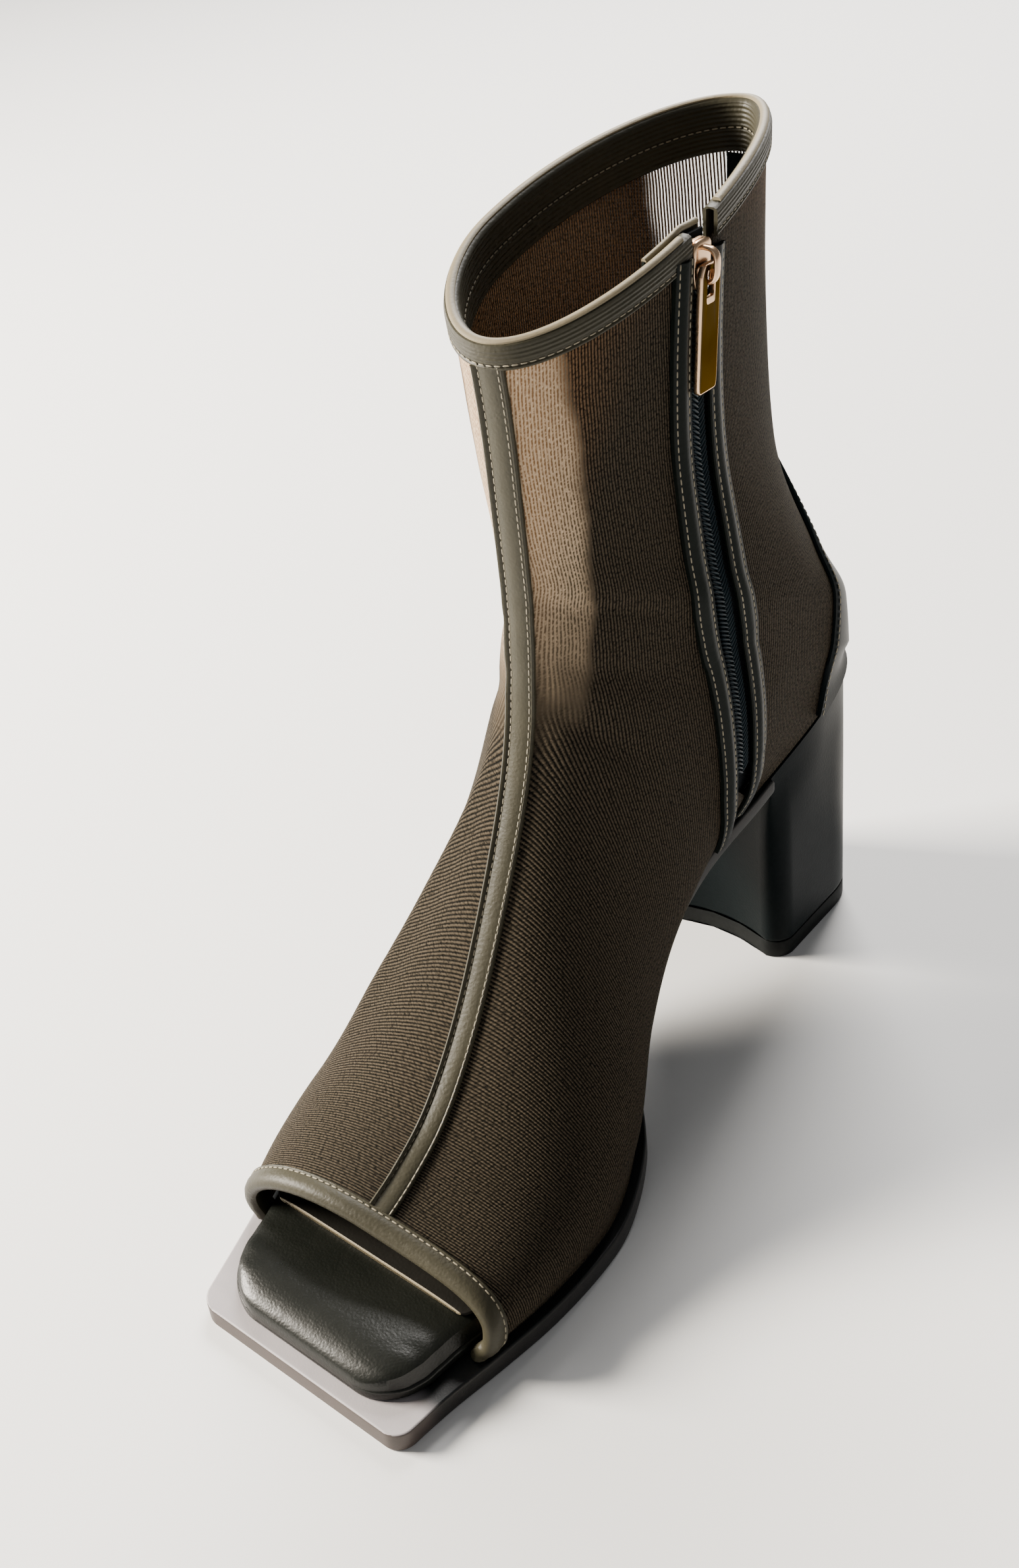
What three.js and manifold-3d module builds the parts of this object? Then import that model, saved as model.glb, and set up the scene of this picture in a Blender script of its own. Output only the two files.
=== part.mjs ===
// Open-toed ankle boot for the right foot: a sheer ribbed upper on a square leather sole and a block heel.
// Millimetres, +Z up, toe towards -Y, inner side of the foot towards +X, standing on the floor at Z = 0.
import * as THREE from "three";
import { mergeVertices } from "three/addons/utils/BufferGeometryUtils.js";
import Module from "manifold-3d";

const wasm = await Module();
wasm.setup();

// Overall sizes
const footLength = 255; // back of the counter to the toe edge of the sole, on the centre line
const ballWidth = 98; // sole at the ball of the foot
const bootHeight = 246; // floor to the highest point of the collar
const seatHeight = 82; // floor to the heel seat at its back
const toeSkew = 0.125; // how much further forward the inner side of the toe reaches, per unit of width
const clearance = 0.3; // between two pieces that lie on each other
const edgeGap = 0.5; // between the sole and the edge of the upper
const overlayGap = 0.75; // between the upper and what is laid on its strongest curves
const liningGap = 0.9; // between the upper's inside and the edge of the footbed

// Upper
const wall = 1.4; // ribbed cloth of the upper
const toeSeam = 4.5; // the front seam ends this far to the inner side at the toe
const heelSwing = 7; // the back seam stands this far to the inner side
const toeTilt = 0.25; // slope of the toe down to the inner side, at the front seam
const collarTwist = 0.1; // the outer side of the collar is widest this much further forward
const collarLift = 4; // the collar rises in a curve between its front and its back
const featherInset = 3; // the upper stands this far inside the edge of the sole
const arcSteps = 7; // facets from the front seam to the widest point, and from there to the edge

// Sole, heel and footbed
const soleThickness = 6;
const waistThickness = 4.6; // sole between the ball and the heel
const soleCorner = 5; // radius of the two toe corners
const topPieceThickness = 6; // rubber under the heel
const breastAlong = 0.235; // front face of the heel, as a share of the foot length
const breastHollow = 5; // how far that face curves in at its middle
const heelRound = 0.157; // the seat curves round the back of the heel over this share of the foot length
const heelRoundPower = 3;
const heelInset = 1.2; // the heel's top stands this far inside the counter
const heelBaseLength = 50;
const heelBaseWidth = 62;
const heelBaseFront = 54; // width of the base at its front
const heelCorner = 6; // radius of the two front corners of the base
const heelBaseRound = 0.42; // share of the base that its back curve takes
const heelBaseSwing = 1.5; // its middle lies this much further to the inner side than that of the seat
const heelBaseForward = 9.5; // the base starts this far in front of the back of the counter
const padThickness = 8.5; // footbed at the toe
const seatPadThickness = 4.5; // footbed under the arch and the heel
const padRoll = 0.055; // the front of the footbed rolls down over this share of the foot length
const padCorner = 13;
const padHeelFlat = 1; // blunt back of the footbed
const padSideInset = 5.6; // bare sole beside its front end
const padToeInset = 4; // bare sole in front of the footbed
const linerThickness = 1;
const linerInset = 2.5; // footbed left bare beside the sock liner
const linerCorner = 3;
const linerEdge = 0.864; // front edge of the sock liner, as a share of the foot length

// Leather laid over the upper
const leather = 1;
const stripWidth = 8.2; // front seam strip at the collar
const stripToeWidth = 6.6; // the same strip at the toe
const toeBindingDepth = 5;
const collarBindingDepth = 5.8; // outside
const collarBandDepth = 12.5; // inside
const backStayWidth = 9;
const backStayLength = 84;
const facingWidth = 6.6; // each of the two strips beside the zip

// Zip
const zipSlot = 9; // gap in the upper between the two facings
const zipNotch = 11; // gap in the collar above the slider
const tapeWidth = 22;
const tapeThickness = 0.8;
const coilWidth = 6;
const coilThickness = 2;
const guardWidth = 22;
const guardDepth = 26;
const guardTop = 2.5; // its upper edge below the collar
const guardBehind = 5; // how far it reaches behind the middle of the zip
const frontSide = 1; // side of the zip line that faces the toe
const coilStart = 0.42; // the coil ends this many rows above the lower end of the zip
const sliderLength = 11.5;
const sliderWidth = 8;
const sliderThickness = 2.6;
const bridgeWidth = 2.2;
const bridgeLength = 9.2;
const bridgeThickness = 1.2;
const bridgeRise = 2.9; // underside of the bridge above the slider
const sliderDrop = 8.5; // middle of the slider below the collar
const pullLength = 31;
const pullWidth = 8.6;
const pullThickness = 1.6;
const pullCorner = 0.8;
const pullBar = 1.5; // cross bar that hangs in the bridge
const pullWindow = { width: 3.6, length: 6.6 };

const smooth = (from, to, at) => THREE.MathUtils.smoothstep(at, from, to);
const range = (from, to, steps) =>
  Array.from({ length: steps + 1 }, (_, i) => from + ((to - from) * i) / steps);
const rounded = (t, power) => Math.pow(Math.max(1 - Math.pow(Math.max(t, 0), power), 0), 1 / power);

// Height of the top of the sole along the foot, as shares of the seat height
const soleProfile = [
  { along: 0, height: 1 },
  { along: 0.1, height: 0.97 },
  { along: 0.18, height: 0.9 },
  { along: 0.28, height: 0.75 },
  { along: 0.377, height: 0.55 },
  { along: 0.475, height: 0.345 },
  { along: 0.562, height: 0.17 },
  { along: 0.64, height: 0.05 },
  { along: 0.7, height: 0 },
  { along: 1, height: 0 },
];

// Half widths of the sole, as shares of the ball width
const soleOutline = [
  { along: 0, medial: 0.39, lateral: 0.25 },
  { along: 0.13, medial: 0.39, lateral: 0.25 },
  { along: 0.25, medial: 0.335, lateral: 0.262 },
  { along: 0.348, medial: 0.255, lateral: 0.28 },
  { along: 0.445, medial: 0.237, lateral: 0.315 },
  { along: 0.523, medial: 0.285, lateral: 0.37 },
  { along: 0.611, medial: 0.442, lateral: 0.455 },
  { along: 0.709, medial: 0.497, lateral: 0.5 },
  { along: 0.787, medial: 0.479, lateral: 0.49 },
  { along: 0.865, medial: 0.434, lateral: 0.444 },
  { along: 0.934, medial: 0.387, lateral: 0.4 },
  { along: 1, medial: 0.353, lateral: 0.36 },
];

// How far each level of the heel block has moved from the outline of the seat to that of the base
const heelTaper = [
  { down: 0, reach: 0 },
  { down: 0.09, reach: 0.12 },
  { down: 0.25, reach: 0.7 },
  { down: 0.5, reach: 0.97 },
  { down: 1, reach: 1 },
];

// Sections of the upper, from the toe opening round the instep to the collar.
// front and rise place the front seam, as shares of the foot length and of the boot height.
// A foot section ends on the sole at edge. A shaft section ends on the back seam at back and up.
const sectionSeams = [
  { front: 0.879, rise: 0.12, edge: 0.883 },
  { front: 0.818, rise: 0.135, edge: 0.802 },
  { front: 0.755, rise: 0.166, edge: 0.704 },
  { front: 0.682, rise: 0.238, edge: 0.606 },
  { front: 0.608, rise: 0.339, edge: 0.509 },
  { front: 0.551, rise: 0.43, edge: 0.411 },
  { front: 0.52, rise: 0.498, edge: 0.304 },
  { front: 0.507, rise: 0.56, edge: 0.157 },
  { front: 0.501, rise: 0.62, edge: 0 },
  { front: 0.499, rise: 0.655, back: 0, up: 0.4 },
  { front: 0.499, rise: 0.7, back: 0.025, up: 0.48 },
  { front: 0.499, rise: 0.77, back: 0.066, up: 0.635 },
  { front: 0.501, rise: 0.84, back: 0.068, up: 0.81 },
  { front: 0.507, rise: 0.907, back: 0.058, up: 0.993 },
];

// Their shapes. medial and lateral are half widths, as shares of the ball width, at the share widest of the
// way down. crown fills out the front of the section, and side its flanks.
const sectionShapes = [
  { medial: 0.425, lateral: 0.415, widest: 0.74, crown: 0.62, side: 0.66 },
  { medial: 0.462, lateral: 0.468, widest: 0.74, crown: 0.6, side: 0.6 },
  { medial: 0.482, lateral: 0.493, widest: 0.74, crown: 0.56, side: 0.56 },
  { medial: 0.45, lateral: 0.468, widest: 0.74, crown: 0.54, side: 0.54 },
  { medial: 0.372, lateral: 0.392, widest: 0.72, crown: 0.5, side: 0.52 },
  { medial: 0.338, lateral: 0.315, widest: 0.72, crown: 0.5, side: 0.52 },
  { medial: 0.35, lateral: 0.285, widest: 0.72, crown: 0.52, side: 0.54 },
  { medial: 0.372, lateral: 0.265, widest: 0.74, crown: 0.52, side: 0.6 },
  { medial: 0.385, lateral: 0.257, widest: 0.75, crown: 0.52, side: 0.66 },
  { medial: 0.382, lateral: 0.25, widest: 0.72, crown: 0.52, side: 0.66 },
  { medial: 0.348, lateral: 0.245, widest: 0.64, crown: 0.52, side: 0.6 },
  { medial: 0.292, lateral: 0.247, widest: 0.5, crown: 0.54, side: 0.55 },
  { medial: 0.28, lateral: 0.247, widest: 0.45, crown: 0.54, side: 0.54 },
  { medial: 0.288, lateral: 0.256, widest: 0.45, crown: 0.54, side: 0.52 },
];
const sections = sectionSeams.map((seam, k) => ({ ...seam, ...sectionShapes[k] }));
const lastSection = sections.length - 1;
const heelSection = sections.findIndex((row) => row.edge === 0);

// Rows of facets of the upper: closer together where its edge rounds the heel.
const upperRows = [
  ...range(0, heelSection - 3, 2 * (heelSection - 3)),
  ...range(heelSection - 3, heelSection - 1, 8).slice(1),
  ...range(heelSection - 1, heelSection, 7).slice(1),
  ...range(heelSection, lastSection - 2, 9).slice(1),
  ...range(lastSection - 2, lastSection, 4).slice(1),
];
const rowGap = 0.05;
const rowsBetween = (from, to) => [
  from,
  ...upperRows.filter((row) => row > from + rowGap && row < to - rowGap),
  to,
];

// Places on the upper are given by row, which counts the sections from 0 at the toe opening,
// and turn, which is 0 at the front seam, -1 at the inner edge and 1 at the outer edge.
// The zip's line is drawn by row and by share of the foot length.
const zipLine = [
  { row: 6.05, along: 0.322 },
  { row: 7, along: 0.32 },
  { row: 8, along: 0.322 },
  { row: 9.5, along: 0.33 },
  { row: 11.5, along: 0.328 },
  { row: lastSection, along: 0.314 },
];

// The counter's front edge, by height in mm and by share of the foot length
const counterLine = [
  { height: 76, along: 0.16 },
  { height: 90, along: 0.135 },
  { height: 105, along: 0.118 },
  { height: 120, along: 0.105 },
  { height: 135, along: 0.092 },
  { height: 151, along: 0.073 },
];
const counterRows = { from: 7.1, to: 10.85 };

// Smooth curve through the rows of a table: value is the column that is read, key the column it runs along.
function along(table, key, value, at) {
  const n = table.length;
  let i = 0;
  while (i < n - 2 && at > table[i + 1][key]) i += 1;
  const secant = (k) => (table[k + 1][value] - table[k][value]) / (table[k + 1][key] - table[k][key]);
  const slope = (k) => {
    const before = secant(Math.max(k - 1, 0));
    const after = secant(Math.min(k, n - 2));
    const steepest = before * after > 0 ? 3 * Math.min(Math.abs(before), Math.abs(after)) : 0;
    return THREE.MathUtils.clamp((before + after) / 2, -steepest, steepest);
  };
  const span = table[i + 1][key] - table[i][key];
  const t = THREE.MathUtils.clamp((at - table[i][key]) / span, 0, 1);
  const h = t * t * (3 - 2 * t);
  const near = slope(i) * span * t * (1 - t) * (1 - t);
  const far = slope(i + 1) * span * t * t * (t - 1);
  return table[i][value] * (1 - h) + table[i + 1][value] * h + near + far;
}

// A point at a share of the foot length, a distance x from the centre line and a height z.
function place(share, x, z) {
  const skew = toeSkew * smooth(0.55, 0.85, share);
  return new THREE.Vector3(x, -share * footLength - skew * x, z);
}

const soleTop = (share) =>
  soleThickness + (seatHeight - soleThickness) * along(soleProfile, "along", "height", share);

// The outline of the sole on one side, drawn in by an inset.
function edgeX(share, side, inset) {
  const width = along(soleOutline, "along", side > 0 ? "medial" : "lateral", share) * ballWidth - inset;
  if (share >= heelRound) return side * width;
  const start = inset / footLength;
  const back = rounded(1 - (share - start) / (heelRound - start), heelRoundPower);
  return heelSwing + (side * width - heelSwing) * back;
}

// Closed solid between a first and a last grid of points, with the grids between them as rings of its wall.
// A ring of rows closes on itself. Faces that two ends of a seam share are left out.
function block(layers, ring = false) {
  const points = [];
  const faces = [];
  const rows = layers[0].length;
  const columns = layers[0][0].length;
  layers.forEach((grid) => grid.forEach((row) => row.forEach((p) => points.push(p.x, p.y, p.z))));
  const index = (layer, row, column) => (layer * rows + (row % rows)) * columns + column;
  const quad = (a, b, c, d) => faces.push([a, b, c], [a, c, d]);
  const rowSteps = ring ? rows : rows - 1;
  const last = layers.length - 1;
  for (let i = 0; i < rowSteps; i += 1) {
    for (let j = 0; j < columns - 1; j += 1) {
      quad(index(0, i, j), index(0, i + 1, j), index(0, i + 1, j + 1), index(0, i, j + 1));
      quad(index(last, i, j), index(last, i, j + 1), index(last, i + 1, j + 1), index(last, i + 1, j));
    }
    for (let k = 0; k < last; k += 1) {
      quad(index(k, i, 0), index(k + 1, i, 0), index(k + 1, i + 1, 0), index(k, i + 1, 0));
      const j = columns - 1;
      quad(index(k, i, j), index(k, i + 1, j), index(k + 1, i + 1, j), index(k + 1, i, j));
    }
  }
  for (let j = 0; j < columns - 1 && !ring; j += 1) {
    for (let k = 0; k < last; k += 1) {
      const i = rows - 1;
      quad(index(k, 0, j), index(k, 0, j + 1), index(k + 1, 0, j + 1), index(k + 1, 0, j));
      quad(index(k, i, j), index(k + 1, i, j), index(k + 1, i, j + 1), index(k, i, j + 1));
    }
  }
  return { points, faces };
}

// Makes a geometry of one or more blocks: vertices merged, empty and doubled faces dropped, faces outwards.
function geometryOf(...blocks) {
  const points = [];
  const faces = [];
  for (const part of blocks) {
    const first = points.length / 3;
    points.push(...part.points);
    part.faces.forEach((face) => faces.push(face.map((i) => i + first)));
  }
  const loose = new THREE.BufferGeometry();
  loose.setAttribute("position", new THREE.Float32BufferAttribute(points, 3));
  loose.setIndex(faces.flat());
  const merged = mergeVertices(loose, 1e-3);
  const position = merged.getAttribute("position");
  const kept = new Map();
  for (let i = 0; i < merged.index.count; i += 3) {
    const face = [0, 1, 2].map((k) => merged.index.getX(i + k));
    if (new Set(face).size < 3) continue;
    const name = [...face].sort((a, b) => a - b).join();
    if (kept.has(name)) kept.delete(name);
    else kept.set(name, face);
  }
  const left = [...kept.values()];
  const corner = [new THREE.Vector3(), new THREE.Vector3(), new THREE.Vector3()];
  const volume = left.reduce((sum, face) => {
    face.forEach((i, k) => corner[k].fromBufferAttribute(position, i));
    return sum + corner[0].dot(corner[1].clone().cross(corner[2]));
  }, 0);
  merged.setIndex((volume < 0 ? left.map(([a, b, c]) => [a, c, b]) : left).flat());
  return merged;
}

function solidOf(geometry) {
  const bare = new THREE.BufferGeometry();
  bare.setAttribute("position", geometry.getAttribute("position"));
  if (geometry.index) bare.setIndex(geometry.index);
  const merged = mergeVertices(bare, 1e-4);
  return new wasm.Manifold(
    new wasm.Mesh({
      numProp: 3,
      vertProperties: merged.getAttribute("position").array,
      triVerts: new Uint32Array(merged.index.array),
    }),
  );
}

function geometryFrom(solid) {
  const mesh = solid.getMesh();
  const geometry = new THREE.BufferGeometry();
  geometry.setAttribute("position", new THREE.Float32BufferAttribute(mesh.vertProperties, 3));
  geometry.setIndex(Array.from(mesh.triVerts));
  return geometry;
}

const joined = (...geometries) => geometryFrom(geometries.map(solidOf).reduce((a, b) => a.add(b)));
const cut = (geometry, tool) => geometryFrom(solidOf(geometry).subtract(solidOf(tool)));

// Surface of the upper

const column = (name, row) => along(sections.map((section, k) => ({ k, v: section[name] })), "k", "v", row);

// Where a section ends: on the sole while it crosses the foot, and then on the back seam. Both lines come
// to rest where they meet, so that the surface has no crease there.
const onSole = sections.slice(0, heelSection).map((section, k) => ({ k, v: section.edge }));
const onSeam = sections
  .map((section, k) => ({ k, back: section.back, up: section.up }))
  .slice(heelSection + 1);
const atRest = [heelSection - 1, heelSection].map((k) => ({ k, back: 0, up: seatHeight / bootHeight }));
const edgeRows = [...onSole, { k: heelSection, v: 0 }, { k: heelSection + 1, v: 0 }];
const backRows = [...atRest, ...onSeam];

function sectionEnd(row, side) {
  if (row >= heelSection) {
    const z = along(backRows, "k", "up", row) * bootHeight;
    const share = along(backRows, "k", "back", row) + featherInset * 0.5 / footLength;
    return place(share, heelSwing, z + edgeGap);
  }
  const share = Math.max(along(edgeRows, "k", "v", row), 0);
  const inset = featherInset * (0.5 + 0.5 * smooth(0.2, 0.5, share));
  const start = inset / footLength;
  const at = start + share * (1 - start);
  return place(at, edgeX(at, side, inset), soleTop(at) + edgeGap);
}

function bezier(a, b, c, d, t) {
  const s = 1 - t;
  return new THREE.Vector3()
    .addScaledVector(a, s * s * s)
    .addScaledVector(b, 3 * s * s * t)
    .addScaledVector(c, 3 * s * t * t)
    .addScaledVector(d, t * t * t);
}

// One section is four arcs: front seam to the widest point and on to the edge, on either side.
function section(row) {
  const front = place(column("front", row), 0, column("rise", row) * bootHeight);
  front.x = toeSeam * (1 - smooth(2, heelSection - 1, row));
  const widest = column("widest", row);
  const crown = column("crown", row);
  const flank = column("side", row);
  const arcs = [-1, 1].map((turn) => {
    const side = -turn;
    const end = sectionEnd(row, side);
    const width = column(side > 0 ? "medial" : "lateral", row) * ballWidth;
    const down = new THREE.Vector3(0, end.y - front.y, end.z - front.z);
    const reach = side > 0 ? widest : widest - collarTwist * smooth(heelSection, lastSection, row);
    const wide = new THREE.Vector3(side * width, front.y + down.y * reach, front.z + down.z * reach);
    wide.z += collarLift * smooth(lastSection - 1.6, lastSection, row);
    const out = new THREE.Vector3(side, 0, 0);
    const slant = new THREE.Vector3(side, 0, -side * toeTilt * (1 - smooth(0, 4, row)));
    const drawn = THREE.MathUtils.clamp((width - side * end.x) / (width - side * heelSwing), 0, 1);
    const upper = [
      front,
      front.clone().addScaledVector(slant, crown * Math.abs(wide.x - front.x)),
      wide.clone().addScaledVector(down, -flank * reach),
      wide,
    ];
    const lower = [
      wide,
      wide.clone().addScaledVector(down, flank * (1 - reach)),
      end
        .clone()
        .addScaledVector(out, flank * Math.abs(wide.x - end.x) * drawn)
        .addScaledVector(down, -0.4 * (1 - reach) * (1 - drawn)),
      end,
    ];
    return { upper, lower };
  });
  return { inner: arcs[0], outer: arcs[1] };
}

const sectionCache = new Map();
function sectionAt(row) {
  const key = row.toFixed(6);
  if (!sectionCache.has(key)) sectionCache.set(key, section(row));
  return sectionCache.get(key);
}

// The point of the upper's outside at a row and a turn. A turn past 1 goes on round the back seam.
function skin(row, turn) {
  const wrapped = turn > 1 ? turn - 2 : turn < -1 ? turn + 2 : turn;
  const { inner, outer } = sectionAt(row);
  const arcs = wrapped < 0 ? inner : outer;
  const t = Math.abs(wrapped) * 2;
  return t <= 1 ? bezier(...arcs.upper, t) : bezier(...arcs.lower, t - 1);
}

const soleStep = 0.005; // of the foot length, for the slope of the sole
const besideStep = 1.5; // mm

function slopes(row, turn) {
  const step = 0.01;
  const low = Math.max(row - step, 0);
  const high = Math.min(row + step, lastSection);
  const left = row < heelSection ? Math.max(turn - step, -1) : turn - step;
  const right = row < heelSection ? Math.min(turn + step, 1) : turn + step;
  const byRow = skin(high, turn).sub(skin(low, turn)).divideScalar(high - low);
  const byTurn = skin(row, right).sub(skin(row, left)).divideScalar(right - left);
  const normal = byRow.clone().cross(byTurn).normalize();
  return { byRow, byTurn, normal };
}

// The same point moved off the surface, outwards for a positive lift. Along the sole it moves level with
// the sole.
function over(row, turn, lift) {
  const point = skin(row, turn);
  const { normal } = slopes(row, turn);
  if (row > heelSection || Math.abs(turn) < 1) return point.addScaledVector(normal, lift);
  const share = -point.y / footLength;
  const rise = (soleTop(share + soleStep) - soleTop(share - soleStep)) / (2 * soleStep * footLength);
  const soleNormal = new THREE.Vector3(0, rise, 1).normalize();
  return point.addScaledVector(normal.projectOnPlane(soleNormal).normalize(), lift);
}

// Moves a place on the upper by a distance to the side of a line that runs along it, in short steps.
function beside(row, turn, direction, distance) {
  const steps = Math.ceil(Math.abs(distance) / besideStep);
  let at = { row, turn };
  for (let i = 0; i < steps; i += 1) {
    const { byRow, byTurn, normal } = slopes(at.row, at.turn);
    const aside = normal.clone().cross(direction).normalize().multiplyScalar(distance / steps);
    const rr = byRow.dot(byRow);
    const rt = byRow.dot(byTurn);
    const tt = byTurn.dot(byTurn);
    const ar = aside.dot(byRow);
    const atTurn = aside.dot(byTurn);
    const det = rr * tt - rt * rt;
    const row = at.row + (ar * tt - atTurn * rt) / det;
    const turn = at.turn + (atTurn * rr - ar * rt) / det;
    const limit = row < heelSection ? 1 : 2;
    at = { row: Math.min(row, lastSection), turn: THREE.MathUtils.clamp(turn, -limit, limit) };
  }
  return at;
}

// A band laid along a line of places, which goes by row. left, right: its edges to either side of the line,
// low, high: its lifts. An open band runs on past the edge of the upper.
function band(line, rows, left, right, low, high, open = false) {
  const end = rows[rows.length - 1];
  const grids = [high, low].map((lift) =>
    rows.map((at) => {
      const here = line(at);
      const before = line(Math.max(at - 0.05, rows[0]));
      const after = line(Math.min(at + 0.05, end));
      const direction = skin(after.row, after.turn).sub(skin(before.row, before.turn));
      const edges = [left, right].map((edge) => (typeof edge === "function" ? edge(at) : edge));
      return range(edges[0], edges[1], 2).map((distance) => {
        const place = beside(here.row, here.turn, direction, distance);
        const point = over(place.row, place.turn, lift);
        return open && at === end ? point.addScaledVector(direction.normalize(), 2) : point;
      });
    }),
  );
  return geometryOf(block(grids));
}

// The change of row that moves a place by one millimetre.
const rowPerMm = (row, turn) => 1 / slopes(row, turn).byRow.length();

// Folds a strip of leather round an open edge of the upper. stations: the turns along the edge it covers,
// outside and inside: how far down it reaches on either face of the wall.
function binding(edgeRow, stations, outside, inside) {
  const into = edgeRow === 0 ? 1 : -1;
  const at = (turn, drop, lift) => {
    if (drop > 0) return over(edgeRow + into * drop * rowPerMm(edgeRow, turn), turn, lift);
    const { byRow } = slopes(edgeRow, turn);
    return over(edgeRow, turn, lift).addScaledVector(byRow.normalize(), into * drop);
  };
  const near = clearance;
  const far = -wall - clearance;
  const skinSide = [
    [outside, near],
    [0, near],
    [-clearance, near],
    [-clearance, far],
    [0, far],
    [inside, far],
  ];
  const openSide = [
    [outside, near + leather],
    [0, near + leather],
    [-clearance - leather, near],
    [-clearance - leather, far],
    [0, far - leather],
    [inside, far - leather],
  ];
  const grid = (path) => stations.map((turn) => path.map(([drop, lift]) => at(turn, drop, lift)));
  return geometryOf(block([grid(openSide), grid(skinSide)]));
}

// A plate that follows the sole from one share of the foot length to another, with round corners in front.
// heights: the height of each of its layers over the place, from the top down.
function plate({ from, to, inset, corner, columns, heights }) {
  const front = to - corner / footLength;
  const stations = [
    ...(from < heelRound ? range(0, 1, 7).map((t) => from + (heelRound - from) * t * t) : [from]),
    ...range(0.2, 0.96, 16).filter((share) => share > from + 0.01 && share < front - 0.01),
    ...range(0, 1, 5).map((t) => THREE.MathUtils.lerp(front, to, t * (2 - t))),
  ];
  return geometryOf(
    block(
      heights.map((height) =>
        stations.map((share) => {
          const past = (share - to) * (footLength / corner) + 1;
          const shorter = corner * (1 - rounded(past, 2));
          const left = edgeX(share, -1, inset(share)) + shorter;
          const right = edgeX(share, 1, inset(share)) - shorter;
          const x = (c) => THREE.MathUtils.lerp(left, right, (c + 1) / 2);
          return columns.map((c) => place(share, x(c), height(share, c)));
        }),
      ),
    ),
  );
}

// The turn at which a section crosses a line on one side of the foot. ahead tells whether a point lies on
// the toe's side of that line.
function turnAt(row, side, ahead) {
  let near = 0;
  let far = 1;
  for (let i = 0; i < 24; i += 1) {
    const middle = (near + far) / 2;
    if (ahead(skin(row, -side * middle))) near = middle;
    else far = middle;
  }
  return -side * far;
}

function zipAt(row) {
  const share = along(zipLine, "row", "along", row);
  return { row, turn: turnAt(row, 1, (point) => -point.y / footLength > share) };
}
const zipTurn = zipAt(lastSection).turn;
const zipStart = zipLine[0].row;
const collarRow = (drop) => lastSection - drop * rowPerMm(lastSection, zipTurn);

const materials = {
  mesh: new THREE.MeshStandardMaterial({ color: 0x3a3226, roughness: 0.8 }),
  leather: new THREE.MeshStandardMaterial({ color: 0x2c2e26, roughness: 0.45 }),
  trim: new THREE.MeshStandardMaterial({ color: 0x3f4032, roughness: 0.5 }),
  sole: new THREE.MeshStandardMaterial({ color: 0x4a4440, roughness: 0.5 }),
  heel: new THREE.MeshStandardMaterial({ color: 0x16201f, roughness: 0.4 }),
  rubber: new THREE.MeshStandardMaterial({ color: 0x0c0e0e, roughness: 0.7 }),
  tape: new THREE.MeshStandardMaterial({ color: 0x141c22, roughness: 0.8 }),
  gold: new THREE.MeshStandardMaterial({ color: 0xc9a06c, roughness: 0.25, metalness: 1 }),
};

const upperTurns = range(-1, 1, arcSteps * 4);

function upper() {
  const grids = [0, -wall].map((lift) =>
    upperRows.map((row) =>
      upperTurns.map((turn) => over(row, row >= heelSection && turn === -1 ? 1 : turn, lift)),
    ),
  );
  const rows = rowsBetween(zipStart + 0.3, lastSection);
  return cut(geometryOf(block(grids)), band(zipAt, rows, -zipSlot / 2, zipSlot / 2, -wall - 1, 1, true));
}

const flat = [-1, -0.5, 0, 0.5, 1];
const shouldered = [-1, -0.93, -0.75, 0, 0.75, 0.93, 1];

function outsole() {
  const thick = (share) => THREE.MathUtils.lerp(waistThickness, soleThickness, smooth(0.4, 0.66, share));
  return plate({
    from: breastAlong,
    to: 1,
    inset: () => 0,
    corner: soleCorner,
    columns: flat,
    heights: [soleTop, (share) => soleTop(share) - thick(share)],
  });
}

const liningInset = featherInset + wall + liningGap;
const padInset = (share) =>
  THREE.MathUtils.lerp(liningInset, liningInset + leather, smooth(0.77, 0.82, share)) +
  (padSideInset - liningInset - leather) * smooth(0.89, 0.93, share);
const padEnd = 1 - padToeInset / footLength;
const padDepth = (share) => THREE.MathUtils.lerp(seatPadThickness, padThickness, smooth(0.5, 0.75, share));

function padTop(share, c) {
  const front = rounded((share - padEnd) / padRoll + 1, 2.4);
  const flank = rounded(Math.abs(c), 5);
  return soleTop(share) + clearance + padDepth(share) * (0.35 + 0.65 * flank * front);
}

function insole() {
  return plate({
    from: (padInset(0) + padHeelFlat) / footLength,
    to: padEnd,
    inset: padInset,
    corner: padCorner,
    columns: shouldered,
    heights: [padTop, (share) => soleTop(share) + clearance],
  });
}

function sockLiner() {
  const inset = (share) => padInset(share) + linerInset;
  const under = (share, c) => padTop(share, c * 0.9) + 2 * clearance;
  return plate({
    from: (inset(0) + padHeelFlat) / footLength,
    to: linerEdge,
    inset,
    corner: linerCorner,
    columns: shouldered,
    heights: [(share, c) => under(share, c) + linerThickness, under],
  });
}

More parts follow.
